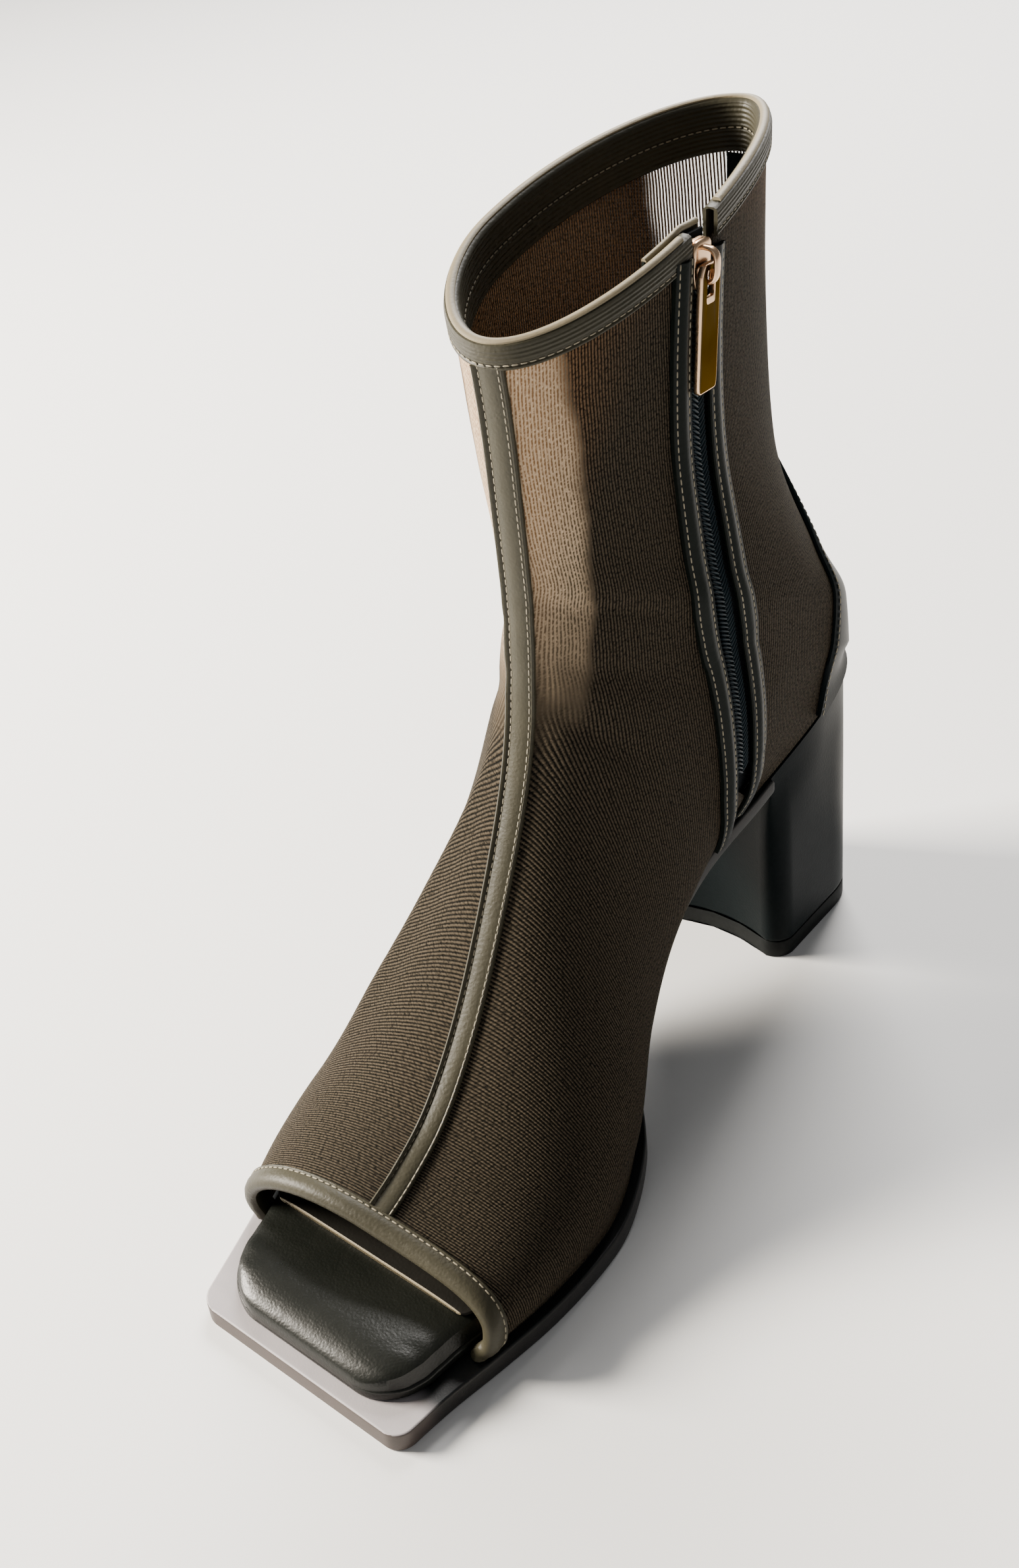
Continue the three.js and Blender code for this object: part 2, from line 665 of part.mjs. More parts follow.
// The heel block narrows from the seat to a waist and flares again a little at its base.
function heelPoint(u, c, down, z) {
  const seatStart = heelInset / footLength;
  const share = THREE.MathUtils.lerp(seatStart, breastAlong - clearance / footLength, u);
  const left = edgeX(share, -1, heelInset);
  const right = edgeX(share, 1, heelInset);
  const seat = place(share, THREE.MathUtils.lerp(left, right, (c + 1) / 2), soleTop(share) - clearance);
  const past = (u - 1) * (heelBaseLength / heelCorner) + 1;
  const width = THREE.MathUtils.lerp(heelBaseWidth, heelBaseFront, u);
  const half = (width / 2) * rounded(1 - u / heelBaseRound, 2.6) - heelCorner * (1 - rounded(past, 2));
  const x = heelSwing + heelBaseSwing + c * half;
  const base = new THREE.Vector3(x, -heelBaseForward - u * heelBaseLength, z);
  const point = seat.clone().lerp(base, down);
  point.z = THREE.MathUtils.lerp(seat.z, z, down);
  point.y += breastHollow * (1 - c * c) * u * u * smooth(0, 0.3, down);
  return point;
}

const heelStations = range(0, 1, 12).map((t) => t - (0.7 * Math.sin(2 * Math.PI * t)) / (2 * Math.PI));
const heelColumns = [-1, -0.6, 0, 0.6, 1];

function heel() {
  const foot = topPieceThickness + clearance;
  const layers = heelTaper.map(({ down, reach }) =>
    heelStations.map((u) =>
      heelColumns.map((c) => {
        const point = heelPoint(u, c, reach, foot);
        point.z = THREE.MathUtils.lerp(heelPoint(u, c, 0, foot).z, foot, down);
        return point;
      }),
    ),
  );
  return geometryOf(block(layers));
}

function topPiece() {
  const grid = (z) => heelStations.map((u) => heelColumns.map((c) => heelPoint(u, c, 1, z)));
  return geometryOf(block([grid(topPieceThickness), grid(0)]));
}

// The columns of the counter run from its front edge to the back on the outer side, and the other way on
// the inner side.
const counterColumns = (side) => (side > 0 ? range(1, 0, 7) : range(0, 1, 7));

function counter() {
  const ahead = (point) => -point.y / footLength > along(counterLine, "height", "along", point.z);
  const rows = rowsBetween(counterRows.from, counterRows.to);
  const halves = [-1, 1].map((side) =>
    block(
      [overlayGap + leather, overlayGap].map((lift) =>
        rows.map((row) =>
          counterColumns(side).map((t) => {
            const front = turnAt(row, side, ahead);
            const turn = THREE.MathUtils.lerp(front, Math.sign(front), t);
            return over(row, row >= heelSection && t === 1 ? 1 : turn, lift);
          }),
        ),
      ),
    ),
  );
  return geometryOf(...halves);
}

const frontSeam = (row) => ({ row, turn: 0 });
const backSeam = (row) => ({ row, turn: 1 });

function frontStrip() {
  const start = (toeBindingDepth + clearance) * rowPerMm(0, 0);
  const end = lastSection - (collarBindingDepth + clearance) * rowPerMm(lastSection, 0);
  const rows = rowsBetween(start, end);
  const width = (row) => THREE.MathUtils.lerp(stripToeWidth, stripWidth, smooth(start, heelSection, row));
  const half = (row) => width(row) / 2;
  return band(frontSeam, rows, (row) => -half(row), half, clearance, clearance + leather);
}

function backStay() {
  const end = lastSection - (collarBandDepth + clearance) * rowPerMm(lastSection, 1);
  const start = end - backStayLength * rowPerMm(lastSection - 1, 1);
  const half = backStayWidth / 2;
  const under = -wall - 2 * clearance;
  return band(backSeam, rowsBetween(start, end), -half, half, under - leather, under);
}

const toeBinding = () => binding(0, upperTurns, toeBindingDepth, toeBindingDepth);

// The zone round the collar that its binding covers, with room on all sides.
function collarRoom() {
  const lift = overlayGap + leather + clearance;
  const drop = collarBindingDepth + clearance;
  const grids = [lift, -wall - lift].map((level) =>
    [drop, 0].map((distance) =>
      range(zipTurn - 0.25, zipTurn + 0.25, 8).map((turn) =>
        over(lastSection - distance * rowPerMm(lastSection, turn), turn, level),
      ),
    ),
  );
  return geometryOf(block(grids));
}

function collarBinding() {
  const rows = rowsBetween(lastSection - 1, lastSection);
  const lift = clearance + leather + 1;
  const notch = band(zipAt, rows, -zipNotch / 2, zipNotch / 2, -wall - lift, lift, true);
  const ends = [zipTurn + 0.02, 2 + zipTurn - 0.02];
  const inner = (turn) => turn > ends[0] + 0.03 && turn < ends[1] - 0.03;
  const between = range(-1, 3, arcSteps * 8).filter(inner);
  const stations = [ends[0], ...between, ends[1]];
  return cut(binding(lastSection, stations, collarBindingDepth, collarBandDepth), notch);
}

function zipFacing(side) {
  const edges = [zipSlot / 2, zipSlot / 2 + facingWidth].map((edge) => side * edge).sort((a, b) => a - b);
  const rows = rowsBetween(zipStart, collarRow(collarBindingDepth * 0.8));
  return cut(band(zipAt, rows, edges[0], edges[1], overlayGap, overlayGap + leather), collarRoom());
}

function zipTape() {
  const bandBottom = collarRow(collarBandDepth + 4);
  const rows = [...rowsBetween(zipStart, bandBottom), bandBottom + 0.02, collarRow(1)];
  const half = (row) => (row > bandBottom ? zipNotch / 2 - clearance : tapeWidth / 2);
  const under = -wall - 2 * clearance;
  return band(zipAt, rows, (row) => -half(row), half, under - tapeThickness, under);
}

function zipCoil() {
  const top = collarRow(sliderDrop + sliderLength / 2 + clearance);
  const half = coilWidth / 2;
  return band(zipAt, rowsBetween(zipStart + coilStart, top), -half, half, -wall, -wall + coilThickness);
}

function zipGuard() {
  const under = -wall - 2 * clearance - leather - clearance;
  const rows = range(collarRow(guardDepth), collarRow(guardTop), 8);
  return band(zipAt, rows, -guardBehind, guardWidth - guardBehind, under - leather, under);
}

// The slider and the pull, in a frame of their own: X across the zip, Y up along it and Z out of the boot.
function zipFrame() {
  const row = collarRow(sliderDrop);
  const here = zipAt(row);
  const normal = slopes(here.row, here.turn).normal;
  const up = skin(row + 0.2, zipAt(row + 0.2).turn).sub(skin(here.row, here.turn));
  const across = up.clone().cross(normal).normalize();
  up.crossVectors(normal, across).normalize();
  const frame = new THREE.Group();
  frame.quaternion.setFromRotationMatrix(new THREE.Matrix4().makeBasis(across, up, normal));
  frame.position.copy(over(here.row, here.turn, 0));
  return frame;
}

const sliderBase = -wall + clearance / 2;
const sliderFace = sliderBase + sliderThickness;
const hingeHeight = sliderFace + pullThickness / 2 + 2 * clearance;

function slider() {
  const half = sliderLength / 2;
  const shield = new THREE.Shape();
  shield.moveTo(-sliderWidth / 2, half - 1);
  shield.lineTo(-sliderWidth / 2 + 1, half);
  shield.lineTo(sliderWidth / 2 - 1, half);
  shield.lineTo(sliderWidth / 2, half - 1);
  shield.lineTo(sliderWidth / 2, 0);
  shield.lineTo(sliderWidth * 0.36, -half);
  shield.lineTo(-sliderWidth * 0.36, -half);
  shield.lineTo(-sliderWidth / 2, 0);
  const body = new THREE.ExtrudeGeometry(shield, { depth: sliderThickness, bevelEnabled: false });
  body.translate(0, 0, sliderBase);
  const foot = bridgeLength / 2;
  const top = sliderFace + bridgeRise + bridgeThickness;
  const arch = new THREE.Shape();
  arch.moveTo(-foot, sliderFace - 0.4);
  arch.lineTo(-foot, top - 1.2);
  arch.lineTo(-foot + 1.2, top);
  arch.lineTo(foot - 1.2, top);
  arch.lineTo(foot, top - 1.2);
  arch.lineTo(foot, sliderFace - 0.4);
  arch.lineTo(foot - bridgeThickness, sliderFace - 0.4);
  arch.lineTo(foot - bridgeThickness, sliderFace + bridgeRise);
  arch.lineTo(-foot + bridgeThickness, sliderFace + bridgeRise);
  arch.lineTo(-foot + bridgeThickness, sliderFace - 0.4);
  const bridge = new THREE.ExtrudeGeometry(arch, { depth: bridgeWidth, bevelEnabled: false });
  bridge.translate(0, 0, -bridgeWidth / 2);
  bridge.applyMatrix4(new THREE.Matrix4().makeBasis(
    new THREE.Vector3(0, 1, 0),
    new THREE.Vector3(0, 0, 1),
    new THREE.Vector3(1, 0, 0),
  ));
  return joined(body, bridge);
}

function pull() {
  const half = pullWidth / 2;
  const top = pullBar / 2;
  const low = top - pullLength;
  const plateShape = new THREE.Shape();
  plateShape.moveTo(-half, low + pullCorner);
  plateShape.lineTo(-half + pullCorner, low);
  plateShape.lineTo(half - pullCorner, low);
  plateShape.lineTo(half, low + pullCorner);
  plateShape.lineTo(half, top - 2);
  plateShape.lineTo(half - 2, top);
  plateShape.lineTo(-half + 2, top);
  plateShape.lineTo(-half, top - 2);
  const window = new THREE.Path();
  const side = pullWindow.width / 2;
  window.moveTo(-side, top - pullBar);
  window.lineTo(side, top - pullBar);
  window.lineTo(side, top - pullBar - pullWindow.length);
  window.lineTo(-side, top - pullBar - pullWindow.length);
  plateShape.holes.push(window);
  const geometry = new THREE.ExtrudeGeometry(plateShape, { depth: pullThickness, bevelEnabled: false });
  geometry.translate(0, 0, -pullThickness / 2);
  return geometry;
}

const boot = new THREE.Group();
function add(name, geometry, material, parent = boot) {
  const mesh = new THREE.Mesh(geometry, material);
  mesh.name = name;
  parent.add(mesh);
  return mesh;
}

add("upper", upper(), materials.mesh);
add("outsole", outsole(), materials.sole);
add("insole", insole(), materials.leather);
add("sock_liner", sockLiner(), materials.leather);
add("heel", heel(), materials.heel);
add("heel_top_piece", topPiece(), materials.rubber);
add("counter", counter(), materials.heel);
add("front_strip", frontStrip(), materials.trim);
add("toe_binding", toeBinding(), materials.trim);
add("collar_binding", collarBinding(), materials.trim);
add("back_stay", backStay(), materials.tape);
add("zip_facing_front", zipFacing(frontSide), materials.leather);
add("zip_facing_back", zipFacing(-frontSide), materials.leather);
add("zip_tape", zipTape(), materials.tape);
add("zip_coil", zipCoil(), materials.tape);
add("zip_guard", zipGuard(), materials.leather);

const zipHead = zipFrame();
boot.add(zipHead);
add("zip_slider", slider(), materials.gold, zipHead);
add("pull_tab", pull(), materials.gold, zipHead).position.set(0, 0, hingeHeight);

// The origin is under the middle of the boot.
const middle = new THREE.Box3().setFromObject(boot).getCenter(new THREE.Vector3());
boot.position.set(-middle.x, -middle.y, 0);

export default boot;
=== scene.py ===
"""Open-toed ankle boot: a sheer ribbed upper with leather trims on a square sole and a block heel.

Shapes are worked out in millimetres, with the toe towards -Y and the floor at Z = 0, and made in metres.
"""

import bmesh
import bpy
import numpy as np
from mathutils import Matrix, Vector


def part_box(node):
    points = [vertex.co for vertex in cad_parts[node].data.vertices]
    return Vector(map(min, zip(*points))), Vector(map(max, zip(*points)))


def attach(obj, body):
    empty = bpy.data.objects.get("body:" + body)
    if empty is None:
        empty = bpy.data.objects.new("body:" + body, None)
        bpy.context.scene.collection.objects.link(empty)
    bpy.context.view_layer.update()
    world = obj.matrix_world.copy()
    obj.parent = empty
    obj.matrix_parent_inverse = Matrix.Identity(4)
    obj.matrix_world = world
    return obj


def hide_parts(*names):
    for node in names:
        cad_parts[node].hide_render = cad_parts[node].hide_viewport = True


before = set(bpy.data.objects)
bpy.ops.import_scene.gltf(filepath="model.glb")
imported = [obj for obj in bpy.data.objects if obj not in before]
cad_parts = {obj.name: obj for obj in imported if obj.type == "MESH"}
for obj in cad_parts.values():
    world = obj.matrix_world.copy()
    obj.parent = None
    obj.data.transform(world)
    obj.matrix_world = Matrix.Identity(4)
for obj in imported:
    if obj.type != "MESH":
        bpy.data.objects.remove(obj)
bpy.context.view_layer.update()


# Camera
# It looks down on the boot from its toe end and inner side, as a customer would over a table.
camera_place = Vector((0.2357, -0.3192, 0.3854))
forward = Vector((-0.347, 0.727, -0.5925)).normalized()
rightward = Vector((0.9023, 0.4312, 0.0)).normalized()
upward = rightward.cross(forward)
turned = Matrix.Rotation(np.radians(9.6), 4, upward) @ Matrix.Rotation(np.radians(0.3), 4, rightward)
forward = turned @ forward
rightward = turned @ rightward
upward = rightward.cross(forward)
camera = bpy.data.objects.new("camera", bpy.data.cameras.new("camera"))
camera.data.sensor_fit = "VERTICAL"
camera.data.sensor_height = 36
camera.data.lens = 43
camera.data.clip_start = 0.01
camera.data.clip_end = 50
axes = Matrix((rightward, upward, -forward)).transposed().to_4x4()
camera.matrix_world = Matrix.Translation(camera_place) @ axes
bpy.context.scene.collection.objects.link(camera)
bpy.context.scene.camera = camera


# Floor and light
# A pale studio floor under a dim sky. A warm light behind the boot shines through its cloth, a strong one
# stands on its outer side, and a weak one in front.
def put(tree, kind, sockets=None, **settings):
    """Adds a node. A socket given as another node's socket is linked, and any other value is set."""
    made = tree.nodes.new(kind)
    for name, value in settings.items():
        setattr(made, name, value)
    for name, value in (sockets or {}).items():
        if isinstance(value, bpy.types.NodeSocket):
            tree.links.new(value, made.inputs[name])
        else:
            made.inputs[name].default_value = value
    return made


def finish_of(name):
    """A new material with its shader and nothing linked to it yet."""
    material = bpy.data.materials.new(name)
    material.use_nodes = True
    return material, material.node_tree, material.node_tree.nodes["Principled BSDF"]


def fix(shader, **values):
    """Sets sockets of a shader that are the same all over the surface: names have _ for a space."""
    for name, value in values.items():
        shader.inputs[name.replace("_", " ")].default_value = value


floor_reach = 6.0
floor_finish, tree, shader = finish_of("studio_floor")
fix(shader, Base_Color=(0.82, 0.82, 0.82, 1), Roughness=0.8, Specular_IOR_Level=0.1)
floor_mesh = bpy.data.meshes.new("floor")
corners = [(x * floor_reach, y * floor_reach, 0) for x, y in ((-1, -1), (1, -1), (1, 1), (-1, 1))]
floor_mesh.from_pydata(corners, [], [(0, 1, 2, 3)])
floor_mesh.materials.append(floor_finish)
floor = bpy.data.objects.new("floor", floor_mesh)
bpy.context.scene.collection.objects.link(floor)

world = bpy.data.worlds.new("studio")
bpy.context.scene.world = world
world.use_nodes = True
world.node_tree.nodes["Background"].inputs["Color"].default_value = (1, 1, 1, 1)
world.node_tree.nodes["Background"].inputs["Strength"].default_value = 0.2


def lamp(name, place, aim, size, power, colour=(1, 1, 1)):
    """A square soft light at a place, turned towards another."""
    light = bpy.data.lights.new(name, "AREA")
    light.size = size
    light.energy = power
    light.color = colour
    made = bpy.data.objects.new(name, light)
    turn = (Vector(aim) - Vector(place)).to_track_quat("-Z", "Y")
    made.matrix_world = Matrix.Translation(place) @ turn.to_matrix().to_4x4()
    bpy.context.scene.collection.objects.link(made)


lamp("light_behind", (-0.5, 1.3, 1.3), (0, 0, 0.1), 0.9, 70, (1.0, 0.97, 0.93))
lamp("light_outer", (-1.25, -0.55, 0.75), (0, 0, 0.06), 0.5, 125, (1.0, 0.92, 0.8))
lamp("light_front", (0.5, -1.4, 0.8), (0, 0, 0.1), 0.9, 1)


# Upper
# A tube of sheer ribbed cloth, cut in two halves that meet at the front and the back, closed round the foot
# and lasted under the footbed. The ribs run up the shaft, and round the foot as they pass over the instep.
foot_length = 255.0
ball_width = 98.0
boot_height = 246.0
seat_height = 82.0
sole_thickness = 6.0
toe_skew = 0.125
toe_seam = 4.5
toe_tilt = 0.25
heel_swing = 7.0
heel_round = 0.157
collar_twist = 0.1
collar_lift = 4.0
feather_inset = 3.0
edge_gap = 0.5
cloth = 1.4

heel_base_forward = 9.5
heel_base_swing = 1.5
low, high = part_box("heel_top_piece")
origin = np.array([
    500 * (low.x + high.x) - heel_swing - heel_base_swing,
    1000 * high.y + heel_base_forward,
    0,
])

sole_profile = {
    "along": [0, 0.1, 0.18, 0.28, 0.377, 0.475, 0.562, 0.64, 0.7, 1],
    "height": [1, 0.97, 0.9, 0.75, 0.55, 0.345, 0.17, 0.05, 0, 0],
}
sole_outline = {
    "along": [0, 0.13, 0.25, 0.348, 0.445, 0.523, 0.611, 0.709, 0.787, 0.865, 0.934, 1],
    "medial": [0.39, 0.39, 0.335, 0.255, 0.237, 0.285, 0.442, 0.497, 0.479, 0.434, 0.387, 0.353],
    "lateral": [0.25, 0.25, 0.262, 0.28, 0.315, 0.37, 0.455, 0.5, 0.49, 0.444, 0.4, 0.36],
}
sections = {
    "row": list(range(14)),
    "front": [.879, .818, .755, .682, .608, .551, .52, .507, .501, .499, .499, .499, .501, .507],
    "rise": [.12, .135, .166, .238, .339, .43, .498, .56, .62, .655, .7, .77, .84, .907],
    "medial": [.425, .462, .482, .45, .372, .338, .35, .372, .385, .382, .348, .292, .28, .288],
    "lateral": [.415, .468, .493, .468, .392, .315, .285, .265, .257, .25, .245, .247, .247, .256],
    "widest": [.74, .74, .74, .74, .72, .72, .72, .74, .75, .72, .64, .5, .45, .45],
    "crown": [.62, .6, .56, .54, .5, .5, .52, .52, .52, .52, .52, .54, .54, .54],
    "side": [.66, .6, .56, .54, .52, .52, .54, .6, .66, .66, .6, .55, .54, .52],
}
edge_line = {
    "row": list(range(10)),
    "along": [0.883, 0.802, 0.704, 0.606, 0.509, 0.411, 0.304, 0.157, 0, 0],
}
back_line = {
    "row": [7, 8, 9, 10, 11, 12, 13],
    "along": [0, 0, 0, 0.025, 0.066, 0.068, 0.058],
    "height": [1 / 3, 1 / 3, 0.4, 0.48, 0.635, 0.81, 0.993],
}
heel_row = 8
collar_row = 13
# Soft creases of the worn-in cloth: a line from one place to another, its width in mm, and its rise.
creases = {
    "row": [6.4, 7.3, 8.3, 6.9, 7.9, 5.4, 5.1, 8.8, 9.8],
    "turn": [-0.08, -0.1, -0.06, 0.05, 0.06, 0.14, 0.22, 0.62, 0.6],
    "to_row": [6.1, 7.2, 8.7, 6.3, 7.6, 2.6, 2.3, 8.4, 9.6],
    "to_turn": [-0.28, -0.3, -0.27, 0.38, 0.4, 0.3, 0.42, 0.8, 0.8],
    "width": [4.5, 5.5, 6.0, 5.0, 5.5, 3.6, 5.0, 5.0, 5.0],
    "rise": [-0.7, -0.8, -0.6, -0.8, -0.7, 1.5, -1.0, -0.7, -0.7],
}


def ease(low, high, at):
    """Smooth step: 3t^2 - 2t^3 of the share of the way from low to high."""
    t = np.clip((np.asarray(at, float) - low) / (high - low), 0, 1)
    return t * t * (3 - 2 * t)


def rounded(t, power):
    """Superellipse quarter: the power-th root of 1 - t^power, 1 at t = 0 and 0 at t = 1."""
    return np.maximum(1 - np.maximum(t, 0) ** power, 0) ** (1 / power)


def read(table, key, value, at):
    """Cubic curve through a table's rows. Its slope at a row is the mean of the two chords beside it, held
    to three times the flatter chord, and 0 where the chords turn back."""
    keys, values = np.asarray(table[key], float), np.asarray(table[value], float)
    chord = np.diff(values) / np.diff(keys)
    before, after = np.append(chord[:1], chord), np.append(chord, chord[-1:])
    steepest = np.where(before * after > 0, 3 * np.minimum(abs(before), abs(after)), 0)
    slope = np.clip((before + after) / 2, -steepest, steepest)
    i = np.clip(np.searchsorted(keys, at, side="left") - 1, 0, len(keys) - 2)
    span = keys[i + 1] - keys[i]
    t = np.clip((at - keys[i]) / span, 0, 1)
    h = t * t * (3 - 2 * t)
    bend = slope[i] * span * t * (1 - t) ** 2 + slope[i + 1] * span * t * t * (t - 1)
    return values[i] * (1 - h) + values[i + 1] * h + bend


def sole_top(share):
    """Height of the top of the sole at a share of the foot length."""
    return sole_thickness + (seat_height - sole_thickness) * read(sole_profile, "along", "height", share)


def edge_x(share, side, inset):
    """Outline of the sole on one side, drawn in by an inset: a width from the table, brought to the back
    seam over the heel by a superellipse quarter."""
    medial = read(sole_outline, "along", "medial", share)
    lateral = read(sole_outline, "along", "lateral", share)
    width = np.where(side > 0, medial, lateral) * ball_width - inset
    start = inset / foot_length
    back = rounded(1 - (share - start) / (heel_round - start), 3)
    drawn = heel_swing + (side * width - heel_swing) * back
    return np.where(share >= heel_round, side * width, drawn)


def place(share, x, z):
    """A point at a share of the foot length, with the toe's slant: y = -share L - skew x."""
    skew = toe_skew * ease(0.55, 0.85, share)
    return np.stack(np.broadcast_arrays(x, -share * foot_length - skew * x, z), -1)


def section_end(row, side):
    """Where a section ends: on the sole's edge in front of the heel, and on the back seam above it."""
    share = np.maximum(read(edge_line, "row", "along", row), 0)
    inset = feather_inset * (0.5 + 0.5 * ease(0.2, 0.5, share))
    at = inset / foot_length + share * (1 - inset / foot_length)
    on_sole = place(at, edge_x(at, side, inset), sole_top(at) + edge_gap)
    back = read(back_line, "row", "along", row) + feather_inset / 2 / foot_length
    on_seam = place(back, heel_swing, read(back_line, "row", "height", row) * boot_height + edge_gap)
    return np.where((row >= heel_row)[..., None], on_seam, on_sole)


def skin(row, turn):
    """Outside of the upper. Row counts the sections from the toe opening to the collar. Turn is 0 at the
    front seam, -1 and 1 at the inner and outer edges. Each side is two cubic Bezier arcs: front seam to the
    widest point, and from there to the section's end, with level and upright tangents."""
    row, turn = np.broadcast_arrays(np.asarray(row, float), np.asarray(turn, float))
    turn = np.where(turn > 1, turn - 2, np.where(turn < -1, turn + 2, turn))
    side = np.where(turn < 0, 1.0, -1.0)
    value = {name: read(sections, "row", name, row) for name in sections if name != "row"}
    nil = np.zeros_like(row)
    front = np.stack([
        toe_seam * (1 - ease(2, heel_row - 1, row)),
        -value["front"] * foot_length,
        value["rise"] * boot_height,
    ], -1)
    end = section_end(row, side)
    width = np.where(side > 0, value["medial"], value["lateral"]) * ball_width
    down = end - front
    down[..., 0] = 0
    reach = value["widest"] - np.where(side > 0, 0, collar_twist) * ease(heel_row, collar_row, row)
    wide = front + down * reach[..., None]
    wide[..., 0] = side * width
    wide[..., 2] += collar_lift * ease(collar_row - 1.6, collar_row, row)
    drawn = np.clip((width - side * end[..., 0]) / (width - side * heel_swing), 0, 1)
    tilt = toe_tilt * (1 - ease(0, 4, row))
    slant = np.stack([side, nil, -side * tilt], -1) * (value["crown"] * abs(wide - front)[..., 0])[..., None]
    inward = np.stack([side * value["side"] * abs(wide - end)[..., 0] * drawn, nil, nil], -1)
    upright = down * (value["side"] * reach)[..., None]
    lower = down * (value["side"] * (1 - reach))[..., None]
    lift = down * (0.4 * (1 - reach) * (1 - drawn))[..., None]
    first = abs(turn) <= 0.5
    t = np.where(first, 2 * abs(turn), 2 * abs(turn) - 1)[..., None]
    first = first[..., None]
    a = np.where(first, front, wide)
    b = np.where(first, front + slant, wide + lower)
    c = np.where(first, wide - upright, end + inward - lift)
    d = np.where(first, wide, end)
    s = 1 - t
    return a * s ** 3 + 3 * b * s * s * t + 3 * c * s * t * t + d * t ** 3


def unit(vectors):
    """Vectors divided by their own lengths."""
    return vectors / np.linalg.norm(vectors, axis=-1, keepdims=True)


def slopes(row, turn):
    """Changes of the surface by row and by turn, from differences, and its outward normal."""
    step = 0.01
    row, turn = np.broadcast_arrays(np.asarray(row, float), np.asarray(turn, float))
    below, above = np.maximum(row - step, 0), np.minimum(row + step, collar_row)
    open_edge = row < heel_row
    left = np.where(open_edge, np.maximum(turn - step, -1), turn - step)
    right = np.where(open_edge, np.minimum(turn + step, 1), turn + step)
    by_row = (skin(above, turn) - skin(below, turn)) / (above - below)[..., None]
    by_turn = (skin(row, right) - skin(row, left)) / (right - left)[..., None]
    return by_row, by_turn, unit(np.cross(by_row, by_turn))


def crease_rise(row, turn):
    """Sum of the creases: each is a bell across its line, e^(-d^2 / w^2), that fades at the line's ends."""
    rise = np.zeros(np.broadcast(row, turn).shape)
    per_row, per_turn = 21.0, 95.0
    for k in range(len(creases["row"])):
        start = np.array([creases["row"][k] * per_row, creases["turn"][k] * per_turn])
        end = np.array([creases["to_row"][k] * per_row, creases["to_turn"][k] * per_turn])
        run = end - start
        away_row, away_turn = row * per_row - start[0], turn * per_turn - start[1]
        t = (away_row * run[0] + away_turn * run[1]) / (run @ run)
        across = (away_row * run[1] - away_turn * run[0]) / np.sqrt(run @ run)
        wave = 1.2 * np.sin(5 * t + k)
        ends = ease(-0.25, 0.2, t) * (1 - ease(0.75, 1.2, t))
        rise = rise + creases["rise"][k] * ends * np.exp(-(((across - wave) / creases["width"][k]) ** 2))
    return rise


def over(row, turn, lift):
    """The point of the surface moved along its normal by a lift and by its creases."""
    lift = np.asarray(lift, float) + crease_rise(row, turn)
    return skin(row, turn) + slopes(row, turn)[2] * lift[..., None]


def grid_faces(n, m, start=0, ring=False):
    """Quads between the points of an n by m grid. A ring joins its last column to its first."""
    i, j = np.meshgrid(np.arange(n - 1), np.arange(m if ring else m - 1), indexing="ij")
    k = (j + 1) % m
    quads = np.stack([i * m + j, (i + 1) * m + j, (i + 1) * m + k, i * m + k], -1)
    return start + quads.reshape(-1, 4)


def make_piece(name, shape, finishes, replaces=(), body="boot", sharp=40, merge=False):
    """A mesh with smooth faces and its place in the mesh, riding on a body. Its shape is points in
    millimetres, faces, and a UV map where there is one."""
    points, faces, *maps = shape
    mesh = bpy.data.meshes.new(name)
    points = (np.asarray(points).reshape(-1, 3) + origin) / 1000
    mesh.from_pydata(points.tolist(), [], [list(face) for face in faces])
    for finish in finishes:
        mesh.materials.append(finish)
    for uv in maps:
        corner = np.zeros(len(mesh.loops), int)
        mesh.loops.foreach_get("vertex_index", corner)
        layer = mesh.uv_layers.new(name="UVMap")
        layer.data.foreach_set("uv", uv.reshape(-1, 2)[corner].ravel())
    if merge:
        work = bmesh.new()
        work.from_mesh(mesh)
        bmesh.ops.remove_doubles(work, verts=work.verts, dist=2e-6)
        work.to_mesh(mesh)
        work.free()
    mesh.shade_smooth()
    mesh.set_sharp_from_angle(angle=np.radians(sharp))
    made = bpy.data.objects.new(name, mesh)
    bpy.context.scene.collection.objects.link(made)
    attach(made, body)
    if replaces:
        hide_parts(*replaces)
    return made


def calc(tree, operation, *values):
    """A Math node's result."""
    return put(tree, "ShaderNodeMath", dict(enumerate(values)), operation=operation).outputs[0]


def blend_colour(tree, factor, one, other):
    """Colour mixed from two by a factor."""
    a, b = (value if isinstance(value, bpy.types.NodeSocket) else (*value, 1) for value in (one, other))
    return put(tree, "ShaderNodeMix", {"Factor": factor, "A": a, "B": b}, data_type="RGBA").outputs["Result"]


def paint(tree, shader, factor, dark, light):
    """Base colour mixed from two by a factor."""
    tree.links.new(blend_colour(tree, factor, dark, light), shader.inputs["Base Color"])


def relief(tree, shader, height, distance, strength):
    """Normals tilted by the slope of a height, which stands for a distance in metres."""
    bump = put(tree, "ShaderNodeBump", {"Height": height, "Distance": distance, "Strength": strength})
    tree.links.new(bump.outputs[0], shader.inputs["Normal"])


def step_between(tree, value, low, high):
    """0 on the low side and 1 on the high side, with a smooth change. High may be less than low."""
    made = put(tree, "ShaderNodeMapRange", {"Value": value, "From Min": low, "From Max": high},
               interpolation_type="SMOOTHSTEP")
    return made.outputs["Result"]


